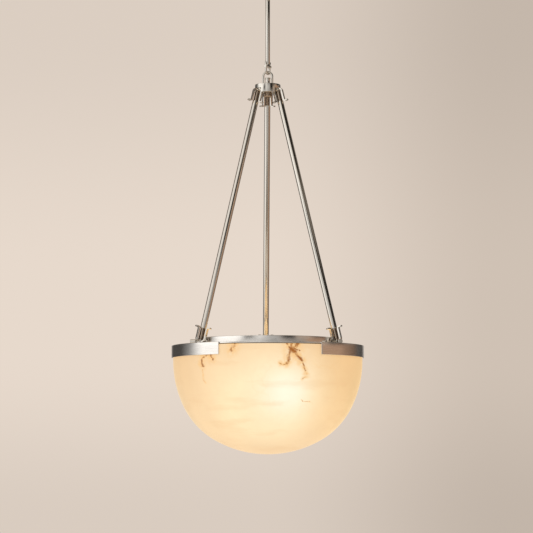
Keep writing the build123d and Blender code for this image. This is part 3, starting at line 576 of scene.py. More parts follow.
class Form:
    """A bmesh under work, in millimetres."""

    def __init__(self) -> None:
        """Start empty."""
        self.mesh = bmesh.new()

    @property
    def geometry(self) -> list:
        """Every vertex, edge and face."""
        return [*self.mesh.verts, *self.mesh.edges, *self.mesh.faces]

    def section(self, points: Iterable[tuple[float, float]], rounds: Rounds | None = None) -> Form:
        """Add a closed section on the XZ plane and round its corners.

        Args:
            points: Corners as X and Z.
            rounds: The radius of each rounded corner, by the corner's number.

        Returns:
            This form.
        """
        corners = [self.mesh.verts.new((x, 0.0, z)) for x, z in points]
        self.mesh.faces.new(corners)
        for index, radius in sorted((rounds or {}).items()):
            self.bevelled([corners[index]], radius, 5, "VERTICES")
        return self

    def band(self, inner: float, outer: float, low: float, high: float, rounds: Rounds | None = None) -> Form:
        """Add the section of a tube or flat ring, its corners counted from the lower inner one outwards."""
        return self.section([(inner, low), (outer, low), (outer, high), (inner, high)], rounds)

    def turned(self, steps: int, angle: float = FULL) -> Form:
        """Spin the section about Z.

        Args:
            steps: Faces round the turn.
            angle: Degrees of the turn; a full one closes on itself.

        Returns:
            This form.
        """
        if angle < FULL:
            return self.spun(self.geometry, steps, angle).closed()
        edges = [e for e in self.mesh.edges if any(abs(v.co.x) > ON_AXIS for v in e.verts)]
        bmesh.ops.delete(self.mesh, geom=list(self.mesh.faces), context="FACES_ONLY")
        self.spun(edges, steps)
        bmesh.ops.delete(self.mesh, geom=[e for e in self.mesh.edges if not e.link_faces], context="EDGES")
        return self.closed()

    def spun(self, geom: list, steps: int, angle: float = FULL) -> Form:
        """Spin geometry about Z by an angle in degrees."""
        bmesh.ops.spin(
            self.mesh, geom=geom, cent=(0, 0, 0), axis=(0, 0, 1), angle=math.radians(angle), steps=steps,
            use_merge=angle == FULL,
        )
        return self

    def closed(self) -> Form:
        """Merge doubles and point every face outwards."""
        bmesh.ops.remove_doubles(self.mesh, verts=self.mesh.verts, dist=DOUBLES)
        bmesh.ops.dissolve_degenerate(self.mesh, edges=self.mesh.edges, dist=SLIVER)
        bmesh.ops.recalc_face_normals(self.mesh, faces=self.mesh.faces)
        return self

    def welded(self) -> Form:
        """Join the loose triangles of a solid and clear the edges inside its flat faces."""
        bmesh.ops.remove_doubles(self.mesh, verts=self.mesh.verts, dist=LOOSE)
        bmesh.ops.dissolve_limit(
            self.mesh, angle_limit=math.radians(0.3), verts=self.mesh.verts, edges=self.mesh.edges
        )
        return self

    def moved(self, matrix: Matrix) -> Form:
        """Transform the whole form."""
        bmesh.ops.transform(self.mesh, matrix=matrix, verts=self.mesh.verts)
        return self

    def copied(self, matrices: Iterable[Matrix]) -> Form:
        """Put a copy of the form at each place, in place of the form.

        Args:
            matrices: The places.

        Returns:
            This form.
        """
        source, corners = self.geometry, list(self.mesh.verts)
        for matrix in matrices:
            made = bmesh.ops.duplicate(self.mesh, geom=source)["geom"]
            bmesh.ops.transform(
                self.mesh, matrix=matrix, verts=[g for g in made if isinstance(g, bmesh.types.BMVert)]
            )
        bmesh.ops.delete(self.mesh, geom=corners, context="VERTS")
        return self

    def added(self, other: Form) -> Form:
        """Take in another form.

        Args:
            other: The other form, which is used up.

        Returns:
            This form.
        """
        joined = bpy.data.meshes.new("joined")
        other.mesh.to_mesh(joined)
        other.mesh.free()
        self.mesh.from_mesh(joined)
        bpy.data.meshes.remove(joined)
        return self

    def cut(self, place: Place, normal: Place) -> Form:
        """Cut away what lies beyond a plane and close the cut.

        Args:
            place: A point of the plane.
            normal: The side that goes.

        Returns:
            This form.
        """
        made = bmesh.ops.bisect_plane(
            self.mesh, geom=self.geometry, dist=SLIVER, plane_co=place, plane_no=normal, clear_outer=True
        )
        rim = [g for g in made["geom_cut"] if isinstance(g, bmesh.types.BMEdge)]
        bmesh.ops.edgenet_fill(self.mesh, edges=rim)
        return self

    def bevelled(
        self, geom: list, width: float, segments: int, affect: str = "EDGES", clamp: bool = False
    ) -> Form:
        """Round the given edges or vertices; a clamp keeps the bevels out of each other."""
        bmesh.ops.bevel(
            self.mesh, geom=geom, offset=width, offset_type="OFFSET", segments=segments, profile=0.5,
            affect=affect, clamp_overlap=clamp, material=-1,
        )
        return self

    def eased(self, width: float, angle: float = 35.0, segments: int = 3) -> Form:
        """Round every edge between two faces that is sharper than an angle in degrees."""
        sharp = [e for e in self.mesh.edges if e.calc_face_angle(0.0) > math.radians(angle)]
        return self.bevelled(sharp, width, segments, clamp=True)

    def finished(self, name: str, finish: Finish) -> bpy.types.Object:
        """Turn the form into an object at the origin and link it.

        Args:
            name: The object's name.
            finish: Its finish.

        Returns:
            The object.
        """
        mesh = bpy.data.meshes.new(name)
        self.mesh.to_mesh(mesh)
        self.mesh.free()
        mesh.materials.append(finish.material())
        piece = bpy.data.objects.new(name, mesh)
        bpy.context.scene.collection.objects.link(piece)
        return piece


@dataclass
class SubAssembly:
    """What each sub-assembly of the pendant shares."""

    body: Body = Body.PENDANT
    made: list[str] = field(default_factory=list)

    def dress(self, finish: Finish, *nodes: str) -> None:
        """Give CAD nodes a finish.

        Args:
            finish: The finish.
            nodes: The nodes' names.
        """
        for name in nodes:
            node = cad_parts[name]
            node.data.materials.clear()
            node.data.materials.append(finish.material())
            LOG.info("dressed %s in %s", name, finish.name)

    def refine(self, finish: Finish, *nodes: str, ease: float = 0.2) -> None:
        """Stand a smoothly shaded copy with rounded edges in for CAD nodes.

        Args:
            finish: The finish.
            nodes: The nodes' names.
            ease: Width of the rounding, in millimetres.
        """
        for name in nodes:
            form = Form()
            form.mesh.from_mesh(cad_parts[name].data)
            form.moved(Matrix.Scale(1.0 / MM, 4)).welded()
            if ease > 0.0:
                form.eased(ease, segments=2)
            self.place(form, f"{name}_finished", finish, name)

    def place(self, form: Form, name: str, finish: Finish, node: str) -> None:
        """Turn a form into a piece of the pendant.

        Args:
            form: The form, in millimetres in the pendant's frame.
            name: The piece's name.
            finish: Its finish.
            node: The CAD node that it stands for.
        """
        piece = form.moved(Matrix.Scale(MM, 4)).finished(name, finish)
        piece.data.shade_smooth()
        piece.data.set_sharp_from_angle(angle=CRISP)
        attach(piece, self.body.value)
        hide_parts(node)
        self.made.append(name)
        LOG.info("made %s with %d faces", name, len(piece.data.polygons))

    def build(self) -> None:
        """Build and dress the sub-assembly."""
        raise NotImplementedError


# ---- sub-assemblies
@dataclass
class CeilingPlate(SubAssembly):
    """Plate, nipple and screws at the ceiling."""

    body: Body = Body.CEILING

    def build(self) -> None:
        """Build and dress the sub-assembly."""
        self.dress(Finishes.zinc, "mounting_strap", "threaded_nipple", "strap_locknut", "stem_coupling")
        self.dress(Finishes.green, "ground_screw")


@dataclass
class Canopy(SubAssembly):
    """Canopy and its slip ring."""

    body: Body = Body.CANOPY
    radius: float = 63.5
    height: float = 26.0
    wall: float = 1.2
    edge_r: float = 8.0
    rim_r: float = 0.35
    hole_r: float = 5.15

    def build(self) -> None:
        """Build and dress the sub-assembly."""
        form = Form().section(
            [
                (self.hole_r, -self.height), (self.radius, -self.height), (self.radius, 0.0),
                (self.radius - self.wall, 0.0), (self.radius - self.wall, self.wall - self.height),
                (self.hole_r, self.wall - self.height),
            ],
            {1: self.edge_r, 2: self.rim_r, 3: self.rim_r, 4: self.edge_r - self.wall},
        )
        self.place(form.turned(144), "canopy_shell", Finishes.nickel, "canopy")
        self.refine(Finishes.nickel, "slip_ring", "slip_ring_screw")


@dataclass
class Stem(SubAssembly):
    """Stem with its tip and the shackle's pin."""

    body: Body = Body.CEILING
    radius: float = 4.75
    bore_r: float = 3.4
    top_z: float = -15.0
    end_z: float = -181.2
    edge_r: float = 0.25

    def build(self) -> None:
        """Build and dress the sub-assembly."""
        form = Form().band(self.bore_r, self.radius, self.end_z, self.top_z, {1: self.edge_r, 2: self.edge_r})
        self.place(form.turned(64), "stem_pipe", Finishes.nickel, "stem_tube")
        self.refine(Finishes.nickel, "stem_tip", "shackle_pin")


@dataclass
class Shackle(SubAssembly):
    """The shackle that links the stem to the hub's loop."""

    body: Body = Body.SHACKLE

    def build(self) -> None:
        """Build and dress the sub-assembly."""
        self.refine(Finishes.nickel, "shackle")


@dataclass
class Hub(SubAssembly):
    """Loop, bushing, cap, drum and the knob under it."""

    bottom_z: float = -245.2
    finial_r: float = 10.0
    finial_h: float = 8.0
    foot_r: float = 8.4
    bore_r: float = 2.4
    taper_h: float = 2.4
    groove: float = 0.7
    groove_h: float = 0.6
    groove_drop: float = 1.9
    groove_slope: float = 0.4
    spigot_r: float = 6.0
    spigot_h: float = 3.0

    def finial(self) -> Form:
        """Turned knob under the drum, with a groove below its shoulder and a wire hole."""
        low, high = self.bottom_z - self.finial_h, self.bottom_z
        upper, waist_r = high - self.groove_drop, self.finial_r - self.groove
        lower = upper - self.groove_h
        return Form().section(
            [
                (self.bore_r, low), (self.foot_r, low), (self.finial_r, low + self.taper_h),
                (self.finial_r, lower - self.groove_slope), (waist_r, lower), (waist_r, upper),
                (self.finial_r, upper + self.groove_slope), (self.finial_r, high), (self.spigot_r, high),
                (self.spigot_r, high + self.spigot_h), (self.bore_r, high + self.spigot_h),
            ],
            {0: 0.4, 1: 1.2, 2: 1.0, 3: 0.3, 6: 0.3, 7: 0.2},
        ).turned(96)

    def build(self) -> None:
        """Build and dress the sub-assembly."""
        self.refine(Finishes.nickel, "hub_loop", "wire_bushing", "hub_cap", ease=0.25)
        self.refine(Finishes.nickel, "hub_body", ease=0.3)
        # The knob takes the darker, browner nickel copy: a painted reflection of the glowing bowl.
        self.place(self.finial(), "hub_knob", Finishes.nickel_painted_shade_and_reflection, "hub_finial")
        self.refine(Finishes.zinc, "loop_nuts", "hub_arm_screws")


@dataclass
class ArmSet(SubAssembly):
    """The three arms with their clasps, knuckles and feet."""

    top_r: float = 23.1
    top_z: float = -236.1
    foot_r: float = 164.5
    foot_z: float = -783.2
    tube_r: float = 6.35
    tube_wall: float = 1.2
    tube_start: float = 29.5
    tube_edge: float = 0.35
    petal_r: float = 10.5
    petal_t: float = 2.6
    petal_w: float = 7.0
    petal_edge: float = 0.45
    petal_count: int = 3
    tip_share: float = 0.8  # of half a petal's width, rounded off at each corner of its lip
    lip_r: float = 18.4
    length: float = 32.5
    base_bend: float = 6.8
    lip_bend: float = 2.8
    boss_r: float = 4.3
    boss_h: float = 5.6
    bore_r: float = 2.05
    fan: float = 96.0

    @property
    def lean(self) -> float:
        """The arms' lean from upright, in degrees."""
        return math.degrees(math.atan2(self.foot_r - self.top_r, self.top_z - self.foot_z))

    @property
    def span(self) -> float:
        """Distance between the closed ends of an arm's two clasps."""
        return math.hypot(self.foot_r - self.top_r, self.top_z - self.foot_z)

    def top_frame(self, angle: float) -> Matrix:
        """Place at an arm's upper clasp, with Z down the arm and X outwards."""
        place = about("Z", angle) @ Matrix.Translation((self.top_r, 0, self.top_z))
        return place @ about("Y", 180.0 - self.lean) @ about("Z", 180.0)

    def foot_frame(self, angle: float) -> Matrix:
        """Place at an arm's lower clasp, with Z up the arm and X outwards."""
        return about("Z", angle) @ Matrix.Translation((self.foot_r, 0, self.foot_z)) @ about("Y", -self.lean)

    def petal(self) -> Form:
        """One petal along X, from the clasp's base to its turned-out lip."""
        half = self.petal_t / 2
        inner, outer, top = self.petal_r - half, self.petal_r + half, self.length
        under, base, lip = top - self.petal_t, self.base_bend, self.lip_bend
        form = Form().section(
            [
                (self.bore_r, 0.0), (outer, 0.0), (outer, under), (self.lip_r, under), (self.lip_r, top),
                (inner, top), (inner, self.petal_t), (self.bore_r, self.petal_t),
            ],
            {1: base + half, 2: lip - half, 5: lip + half, 6: base - half},
        )
        side = self.petal_w / 2
        near_lip, near_side = self.lip_r - 1.0, side - 0.01
        form.moved(about("Z", -self.fan / 2)).turned(24, self.fan)
        form.cut((0, side, 0), (0, 1, 0)).cut((0, -side, 0), (0, -1, 0))
        tips = [
            e for e in form.mesh.edges
            if all(v.co.x > near_lip and abs(v.co.y) > near_side for v in e.verts)
            and abs(e.verts[0].co.z - e.verts[1].co.z) > half
        ]
        return form.bevelled(tips, side * self.tip_share, 6).eased(self.petal_edge, 40.0)

    def clasp(self) -> Form:
        """Three petals round a bored boss, standing on zero."""
        form = self.petal().copied(about("Z", FULL * n / self.petal_count) for n in range(self.petal_count))
        boss = Form().band(self.bore_r, self.boss_r, 0.0, self.boss_h, {1: 0.3, 2: 0.5})
        return form.added(boss.turned(48))

    def tube(self) -> Form:
        """An arm's tube with its end edges rolled over, in the upper clasp's frame."""
        edges = {1: self.tube_edge, 2: self.tube_edge}
        inner, end = self.tube_r - self.tube_wall, self.span - self.tube_start
        return Form().band(inner, self.tube_r, self.tube_start, end, edges).turned(72)

    def build(self) -> None:
        """Build and dress the sub-assembly."""
        for name, angle in ARMS.items():
            top = self.top_frame(angle)
            for end, frame in (("upper", top), ("lower", self.foot_frame(angle))):
                clasp = self.clasp().moved(frame)
                self.place(clasp, f"petals_{end}_{name}", Finishes.nickel, f"{end}_clasp_{name}")
            self.place(self.tube().moved(top), f"arm_{name}", Finishes.nickel, f"arm_tube_{name}")
            # The knuckles take the darker nickel copy: painted shade where they sit inside the clasps.
            self.refine(Finishes.nickel_painted_shade_and_reflection, f"upper_knuckle_{name}", f"lower_knuckle_{name}")
            self.refine(Finishes.nickel, f"arm_foot_{name}", ease=0.3)
        self.dress(Finishes.zinc, "arm_studs")
        self.refine(Finishes.zinc, "foot_screws")
        self.refine(Finishes.nickel, "foot_lock_screws")


@dataclass
class Ring(SubAssembly):
    """Stepped ring: flange, collar, three pads and what bolts them to the bowl."""

    flange_r: float = 199.8
    bore_r: float = 149.1
    top_z: float = -786.7
    flange_t: float = 3.0
    collar_t: float = 3.0
    collar_h: float = 14.8
    pad_inner_r: float = 200.0
    pad_t: float = 3.2
    pad_h: float = 25.6
    pad_half_angle: float = 29.1
    pad_edge: float = 0.63
    edge: float = 0.45
    steps: int = 240

    def flange(self) -> Form:
        """Flat ring that the arms stand on."""
        edges = {1: self.edge, 2: self.edge, 3: self.edge}
        low = self.top_z - self.flange_t
        return Form().band(self.bore_r, self.flange_r, low, self.top_z, edges).turned(self.steps)

    def collar(self) -> Form:
        """Upright band on the inner edge of the flange."""
        edges = {2: 2 * self.edge, 3: 2 * self.edge}
        high, outer = self.top_z + self.collar_h, self.bore_r + self.collar_t
        return Form().band(self.bore_r, outer, self.top_z, high, edges).turned(self.steps)

    def pad(self, angle: float) -> Form:
        """Curved plate over the bowl's edge.

        Args:
            angle: Degrees of the arm that it is centred on.

        Returns:
            The plate.
        """
        low, outer = self.top_z - self.pad_h, self.pad_inner_r + self.pad_t
        form = Form().band(self.pad_inner_r, outer, low, self.top_z).turned(56, 2 * self.pad_half_angle)
        return form.moved(about("Z", angle - self.pad_half_angle)).eased(self.pad_edge, 40.0, 4)

    def build(self) -> None:
        """Build and dress the sub-assembly."""
        self.place(self.flange(), "ring_flange", Finishes.ring, "flange_ring")
        self.place(self.collar(), "ring_collar", Finishes.ring, "collar_ring")
        for name, angle in ARMS.items():
            self.place(self.pad(angle), f"ring_pad_{name}", Finishes.ring, f"rim_pad_{name}")
        self.refine(Finishes.zinc, "pad_studs", "stud_washers", "stud_nuts", ease=0.15)
        self.dress(Finishes.rubber, "rim_gasket", "stud_bushes")


@dataclass
class LampSet(SubAssembly):
    """Spider, cluster, holders and lamps inside the bowl."""

    centre_z: float = -863.2
    angles: tuple[float, ...] = (285.0, 45.0, 165.0)
    dip: float = 15.0
    cap_r: float = 13.2
    cap_start: float = 40.97
    cap_length: float = 26.0
    thread_pitch: float = 3.6
    thread_depth: float = 0.8
    crest_r: float = 0.64
    neck_in: float = 4.0
    neck_h: float = 3.0
    rim_h: float = 1.0

    def thread_shells(self) -> Form:
        """Rolled screw caps of the three lamps, their ridges drawn as rings."""
        turns = int((self.cap_length - 2 * self.neck_h) / self.thread_pitch)
        root, end = self.cap_r - self.thread_depth, self.cap_length
        corners = [(0.0, 0.0), (self.cap_r - self.neck_in, 0.0), (root, self.neck_h)]
        for turn in range(turns):
            low = self.neck_h + turn * self.thread_pitch
            corners += [(self.cap_r, low + self.thread_pitch / 2), (root, low + self.thread_pitch)]
        corners += [(self.cap_r, end - self.rim_h), (self.cap_r, end), (0.0, end)]
        rounds = {index: self.crest_r for index in range(2, 3 + 2 * turns)}
        form = Form().section(corners, rounds).turned(48).moved(Matrix.Translation((0, 0, self.cap_start)))
        aim = Matrix.Translation((0, 0, self.centre_z)) @ about("Y", 90.0 + self.dip)
        return form.copied(about("Z", angle) @ aim for angle in self.angles)

    def build(self) -> None:
        """Build and dress the sub-assembly."""
        self.refine(Finishes.zinc, "lamp_spider", "spider_screws", "cluster_nuts", "cluster_body", ease=0.3)
        self.refine(Finishes.zinc, "cluster_stem")
        self.refine(Finishes.porcelain, "lamp_holders", ease=0.5)
        self.place(self.thread_shells(), "lamp_thread_shells", Finishes.lamp_cap, "lamp_caps")
        self.refine(Finishes.lamp, "lamp_globes", ease=0.0)


# Veins of the stone: half width in millimetres, then points as degrees to the right of the front and height.
VEINS: tuple[tuple, ...] = (
    (2.3, (9.0, -788), (11.0, -797), (12.2, -804)),
    (2.4, (17.0, -788), (15.3, -797), (12.2, -804)),
    (6.0, (12.9, -801), (14.0, -808)),
    (1.5, (13.0, -789), (12.4, -798)),
    (1.6, (12.4, -803), (17.2, -802)),
    (2.8, (12.0, -805), (10.7, -812), (9.4, -833)),
    (1.7, (9.4, -832), (7.4, -834), (4.9, -831)),
    (3.8, (13.6, -806), (15.8, -812), (18.2, -823)),
    (1.9, (18.2, -823), (21.0, -842), (22.4, -855)),
    (1.3, (22.4, -855), (20.2, -863)),
    (4.0, (-21.2, -787), (-22.3, -797), (-23.2, -804)),
    (3.6, (-36.6, -808), (-36.8, -816)),
    (2.3, (-38.6, -812), (-41.4, -816), (-44.0, -822), (-43.2, -836)),
    (2.5, (-38.4, -812), (-35.2, -822)),
    (1.1, (-43.2, -834), (-45.6, -833)),
    (0.8, (-43.2, -844), (-44.2, -858), (-42.8, -866)),
    (0.4, (20.0, -903), (26.5, -906), (29.0, -912)),
    (1.4, (118.0, -806), (126.0, -830), (123.0, -862), (131.0, -884)),
    (1.0, (126.0, -830), (135.0, -842)),
    (1.6, (196.0, -815), (203.0, -838), (200.0, -871), (209.0, -902)),
    (1.1, (203.0, -838), (213.0, -848)),
    (1.3, (262.0, -800), (257.0, -822), (261.0, -850)),
)


@dataclass
class Bowl(SubAssembly):
    """The alabaster bowl: three arcs below a short upright wall."""

    lamp_angles: tuple[float, ...] = ()
    # Where the painted hot spots and glows of the lamps sit on the stone: degrees turned from each lamp, and
    # height.
    hot_spot_turn: float = -5.0
    hot_spot_z: float = -888.0
    glow_turn: float = -21.0
    glow_z: float = -914.0
    radius: float = 199.7
    thick: float = 16.0
    top_z: float = -790.9
    bottom_z: float = -1014.1
    side_r: float = 220.0
    side_turn: float = 26.0
    shoulder_r: float = 164.0
    shoulder_turn: float = 61.0
    lip_edge: float = 1.5
    arc_steps: int = 22
    steps: int = 144

    def arcs(self, inset: float) -> list[tuple[float, float, float, float]]:
        """Centre and turns of each arc.

        Args:
            inset: How far the outline is moved in from the outer face.

        Returns:
            Each arc's centre X, centre Z, radius and turn in degrees.
        """
        side, shoulder = math.radians(self.side_turn), math.radians(self.shoulder_turn)
        side_r, shoulder_r = self.side_r - inset, self.shoulder_r - inset
        start = self.radius - inset
        first = start - side_r * (1 - math.cos(side))
        second = first - shoulder_r * (math.cos(side) - math.cos(shoulder))
        base_r = second / math.cos(shoulder)
        base_z = self.bottom_z + inset + base_r
        second_z = base_z - base_r * math.sin(shoulder)
        first_z = second_z + shoulder_r * (math.sin(shoulder) - math.sin(side))
        start_z = first_z + side_r * math.sin(side)
        return [
            (start - side_r, start_z, side_r, self.side_turn),
            (first - shoulder_r * math.cos(side), first_z + shoulder_r * math.sin(side), shoulder_r,
             self.shoulder_turn - self.side_turn),
            (0.0, base_z, base_r, 90.0 - self.shoulder_turn),
        ]

    def skin(self, inset: float) -> Form:
        """One face of the bowl, from the rim to its lowest point, spun round the axis.

        Args:
            inset: How far it is moved in from the outer face.

        Returns:
            The face.
        """
        form = Form()
        mesh = form.mesh
        arcs = self.arcs(inset)
        last = mesh.verts.new((self.radius - inset, 0.0, self.top_z))
        start = bmesh.ops.extrude_vert_indiv(mesh, verts=[last])["verts"]
        bmesh.ops.translate(mesh, vec=(0, 0, arcs[0][1] - self.top_z), verts=start)
        last = start[0]
        for centre_x, centre_z, _radius, turn in arcs:
            made = bmesh.ops.spin(
                mesh, geom=[last], cent=(centre_x, 0, centre_z), axis=(0, 1, 0), angle=math.radians(turn),
                steps=self.arc_steps,
            )["geom_last"]
            last = next(g for g in made if isinstance(g, bmesh.types.BMVert))
        last.co.x = 0.0
        return form.spun(list(mesh.edges), self.steps).closed()

    def on_wall(self, turn: float, height: float) -> Place:
        """A point of the outer face.

        Args:
            turn: Degrees from the front towards the right.
            height: In millimetres.

        Returns:
            The point, in metres.
        """
        out, total = self.radius, 0.0
        for centre_x, centre_z, radius, arc_turn in self.arcs(0.0):
            if height < centre_z - radius * math.sin(math.radians(total)):
                out = centre_x + math.sqrt(radius * radius - (height - centre_z) ** 2)
            total += arc_turn
        angle = math.radians(turn)
        return (out * math.sin(angle) * MM, -out * math.cos(angle) * MM, height * MM)

    def near_lamps(self, turn: float, height: float) -> tuple[Place, ...]:
        """A point of the outer face beside each lamp, turned from it by some degrees."""
        return tuple(self.on_wall(angle - FRONT + turn, height) for angle in self.lamp_angles)

    def veins(self) -> tuple[tuple[Place, Place, float], ...]:
        """The rust-brown veins: start, end and half width of each, in metres."""
        return tuple(
            (self.on_wall(*start), self.on_wall(*end), width * MM)
            for width, *line in VEINS for start, end in zip(line, line[1:])
        )

    def build(self) -> None:
        """Build and dress the sub-assembly."""
        stone = LitAlabaster(
            "lit_alabaster", Slot.STONE, hot_spots=self.near_lamps(self.hot_spot_turn, self.hot_spot_z),
            glows=self.near_lamps(self.glow_turn, self.glow_z), veins=self.veins(),
        )
        wall = self.skin(0.0).added(self.skin(self.thick))
        bmesh.ops.bridge_loops(wall.mesh, edges=[e for e in wall.mesh.edges if e.is_boundary])
        wall.closed()
        lips = [
            e for e in wall.mesh.edges
            if all(abs(v.co.z - self.top_z) < LOOSE for v in e.verts) and e.calc_face_angle(0.0) > 1.0
        ]
        self.place(wall.bevelled(lips, self.lip_edge, 4), "alabaster_stone", stone, "alabaster_bowl")


# ---- studio
PLAIN: Colour = (1.0, 0.985, 0.96)
WARM: Colour = (1.08, 0.98, 0.90)
TAN: Colour = (1.20, 0.95, 0.76)
BROWN: Colour = (1.43, 0.90, 0.60)
# What the arms and the hub mirror: degrees round the pendant, brightness and tint of each screen.
SCREENS: tuple[tuple[float, float, Colour], ...] = (
    (-180, 0.62, WARM), (-165, 0.58, WARM), (-150, 0.08, WARM), (-128, 0.13, WARM), (-114, 0.12, WARM),
    (-101, 0.50, PLAIN), (-93, 1.30, PLAIN), (-46, 1.30, PLAIN), (-40, 0.45, PLAIN), (-36, 0.03, WARM),
    (-29, 0.04, WARM), (-23, 0.48, PLAIN), (-15, 0.86, PLAIN), (0, 0.60, PLAIN), (12, 0.54, PLAIN),
    (19, 0.34, WARM), (23, 0.008, WARM), (41, 0.008, WARM), (46, 0.42, TAN), (70, 0.38, TAN),
    (80, 0.10, WARM), (96, 0.03, WARM), (108, 0.20, WARM), (120, 0.28, WARM), (130, 0.06, WARM),
    (158, 0.06, WARM), (168, 0.58, WARM), (180, 0.62, WARM),
)
# The same further down, where the ring mirrors it.
LOW_SCREENS: tuple[tuple[float, float, Colour], ...] = (
    (-180, 0.55, WARM), (-158, 0.06, WARM), (-126, 0.06, WARM), (-108, 0.28, PLAIN), (-95, 0.80, PLAIN),
    (-86, 1.15, PLAIN), (-54, 1.15, PLAIN), (-49, 0.80, PLAIN), (-44, 0.66, PLAIN), (-30, 0.70, PLAIN),
    (-14, 0.62, PLAIN), (0, 0.45, PLAIN), (8, 0.36, PLAIN), (11, 0.32, PLAIN), (14, 0.44, PLAIN),
    (24, 0.40, WARM), (30, 0.31, WARM), (42, 0.28, WARM), (50, 0.30, WARM), (60, 0.30, TAN),
    (68, 0.30, BROWN), (94, 0.29, BROWN), (104, 0.20, BROWN), (113, 0.165, BROWN), (122, 0.12, BROWN),
    (134, 0.09, WARM), (152, 0.06, WARM), (166, 0.50, WARM), (180, 0.55, WARM),
)


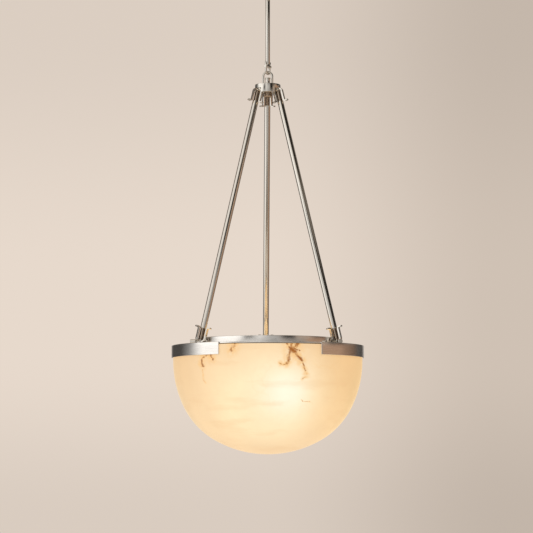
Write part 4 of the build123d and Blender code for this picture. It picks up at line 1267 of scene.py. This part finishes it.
@dataclass
class Studio:
    """Floor, world, lights and camera."""

    floor_z: float = -4.6
    floor_half: float = 9.0
    wall_light: Colour = (0.799, 0.694, 0.604)
    wall_shade: Colour = (0.625, 0.535, 0.457)
    room: Colour = (0.80, 0.77, 0.73)
    ceiling: Colour = (0.62, 0.56, 0.49)
    upper_left: Colour = (0.16, 0.13, 0.11)
    upper_front: Colour = (0.93, 0.90, 0.86)
    upper_right: Colour = (0.30, 0.26, 0.22)
    gap_dark: Colour = (0.012, 0.010, 0.008)
    gap_rest: Colour = (0.20, 0.17, 0.14)
    lower_left: Colour = (0.28, 0.23, 0.18)
    lower_bright: Colour = (1.10, 1.05, 1.0)
    lower_front: Colour = (0.23, 0.19, 0.155)
    lower_right: Colour = (0.30, 0.255, 0.21)
    ground: Colour = (0.20, 0.12, 0.06)
    soft_boxes: tuple[tuple[str, Place, float, float], ...] = (
        ("soft_left", (-2.6, -2.2, 0.6), 1.6, 26.0), ("soft_right", (2.6, -1.4, 1.0), 1.4, 12.0),
    )
    light_colour: Colour = (1.0, 0.96, 0.9)
    aim: Place = (0.0, 0.0, -0.6)
    lens: float = 128.33
    sensor: float = 36.0
    camera_tilt: float = 95.486
    camera_turn: float = -1.5
    camera_reach: float = 4.017
    camera_side: float = -0.0027
    camera_z: float = -1.003

    def build(self) -> None:
        """Set the studio up."""
        self._floor()
        self._world()
        self._lights()
        self._camera()

    def _floor(self) -> None:
        """Plain pale floor."""
        form = Form()
        bmesh.ops.create_grid(form.mesh, x_segments=2, y_segments=2, size=self.floor_half)
        form.moved(Matrix.Translation((0, 0, self.floor_z)))
        form.finished("studio_floor", FloorPaint("floor_paint"))

    def _world(self) -> None:
        """Soft wall tone for the camera and a set of pale and dark screens for reflections."""
        world = bpy.data.worlds.new("studio_world")
        world.use_nodes = True
        bpy.context.scene.world = world
        bench = Bench(world.node_tree)
        x, y, z = bench.parts(bench.value("ShaderNodeTexCoord", output="Generated"))
        seen = bench.mixed(x.ramped(0.02, 0.15), self.wall_light, self.wall_shade)
        seen = bench.scaled(seen, 1.0 - z.ramped(0.09, 0.22) * 0.11 - z.ramped(0.05, -0.04) * 0.13)
        turn = x.maths("ARCTAN2", y * -1.0) / math.tau + 0.5
        gap = bench.mixed(z.ramped(0.515, 0.495) * z.ramped(0.37, 0.41), self.gap_dark, self.gap_rest)
        upper = self._layered(
            bench, turn, self.upper_left,
            (0.22, 0.26, self.upper_front), (0.465, 0.50, gap), (0.82, 0.90, self.upper_right),
        )
        lower = self._layered(
            bench, turn, self.lower_left,
            (0.285, 0.31, self.lower_bright), (0.385, 0.42, self.lower_front), (0.64, 0.70, self.lower_right),
        )
        middle, low = self._screens(bench, turn, SCREENS), self._screens(bench, turn, LOW_SCREENS)
        mirrored = self._layered(
            bench, z, middle, (0.165, 0.14, low), (0.23, 0.28, upper), (0.60, 0.85, self.ceiling),
            (-0.22, -0.36, lower), (-0.60, -0.85, self.ground),
        )
        path = bench.node("ShaderNodeLightPath")
        tone = bench.mixed(path.outputs["Is Glossy Ray"], self.room, mirrored)
        tone = bench.mixed(path.outputs["Is Camera Ray"], tone, seen)
        background = bench.node("ShaderNodeBackground", None, {"Color": tone, "Strength": 1.0})
        bench.node("ShaderNodeOutputWorld", None, {"Surface": background.outputs[0]})

    @staticmethod
    def _layered(bench: Bench, along: Wire, base: Value, *layers: tuple[float, float, Value]) -> Value:
        """Lay tones over a base, each from a place on.

        Args:
            bench: The world's bench.
            along: What the places are measured on.
            base: The tone under them.
            layers: Where each tone starts, where it is full, and the tone.

        Returns:
            The wire of the tone.
        """
        for start, full, tone in layers:
            base = bench.mixed(along.ramped(start, full), base, tone)
        return base

    @staticmethod
    def _screens(bench: Bench, turn: Wire, screens: tuple[tuple[float, float, Colour], ...]) -> Wire:
        """The tones of a ring of screens round the pendant, by the direction from 0 to 1."""
        stops = [
            (0.5 + angle / FULL, tuple(level * part for part in tint)) for angle, level, tint in screens
        ]
        return bench.value("ShaderNodeValToRGB", {"stops": stops}, {"Fac": turn})

    def _lights(self) -> None:
        """Square soft boxes: name, place, side in metres and power in watts of each."""
        for name, place, size, power in self.soft_boxes:
            lamp = bpy.data.lights.new(name, "AREA")
            lamp.shape, lamp.size = "SQUARE", size
            lamp.energy, lamp.color = power, self.light_colour
            carrier = bpy.data.objects.new(name, lamp)
            carrier.location = place
            carrier.rotation_euler = (Vector(self.aim) - Vector(place)).to_track_quat("-Z", "Y").to_euler()
            carrier.visible_glossy = False
            bpy.context.scene.collection.objects.link(carrier)

    def _camera(self) -> None:
        """Camera at the photograph's place and angle."""
        data = bpy.data.cameras.new("view_camera")
        data.sensor_width = self.sensor
        data.lens = self.lens
        camera = bpy.data.objects.new("view_camera", data)
        turn = math.radians(self.camera_turn)
        right = Vector((math.cos(turn), math.sin(turn), 0))
        back = Vector((math.sin(turn), -math.cos(turn), 0))
        camera.location = back * self.camera_reach + right * self.camera_side + Vector((0, 0, self.camera_z))
        camera.rotation_euler = (math.radians(self.camera_tilt), 0, turn)
        bpy.context.scene.collection.objects.link(camera)
        bpy.context.scene.camera = camera


def main() -> None:
    """Build the pendant and its studio, in order."""
    logging.basicConfig(level=logging.INFO, format="%(name)s: %(message)s")
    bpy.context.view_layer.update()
    scene = bpy.context.scene
    scene.view_settings.view_transform = "Standard"
    lamps = LampSet()
    assemblies: list[SubAssembly] = [
        CeilingPlate(), Canopy(), Stem(), Shackle(), Hub(), ArmSet(), Ring(), lamps,
        Bowl(lamp_angles=lamps.angles),
    ]
    for assembly in assemblies:
        assembly.build()
        LOG.info("%s done, %d new pieces", type(assembly).__name__, len(assembly.made))
    Studio().build()


if __name__ == "__main__":
    main()
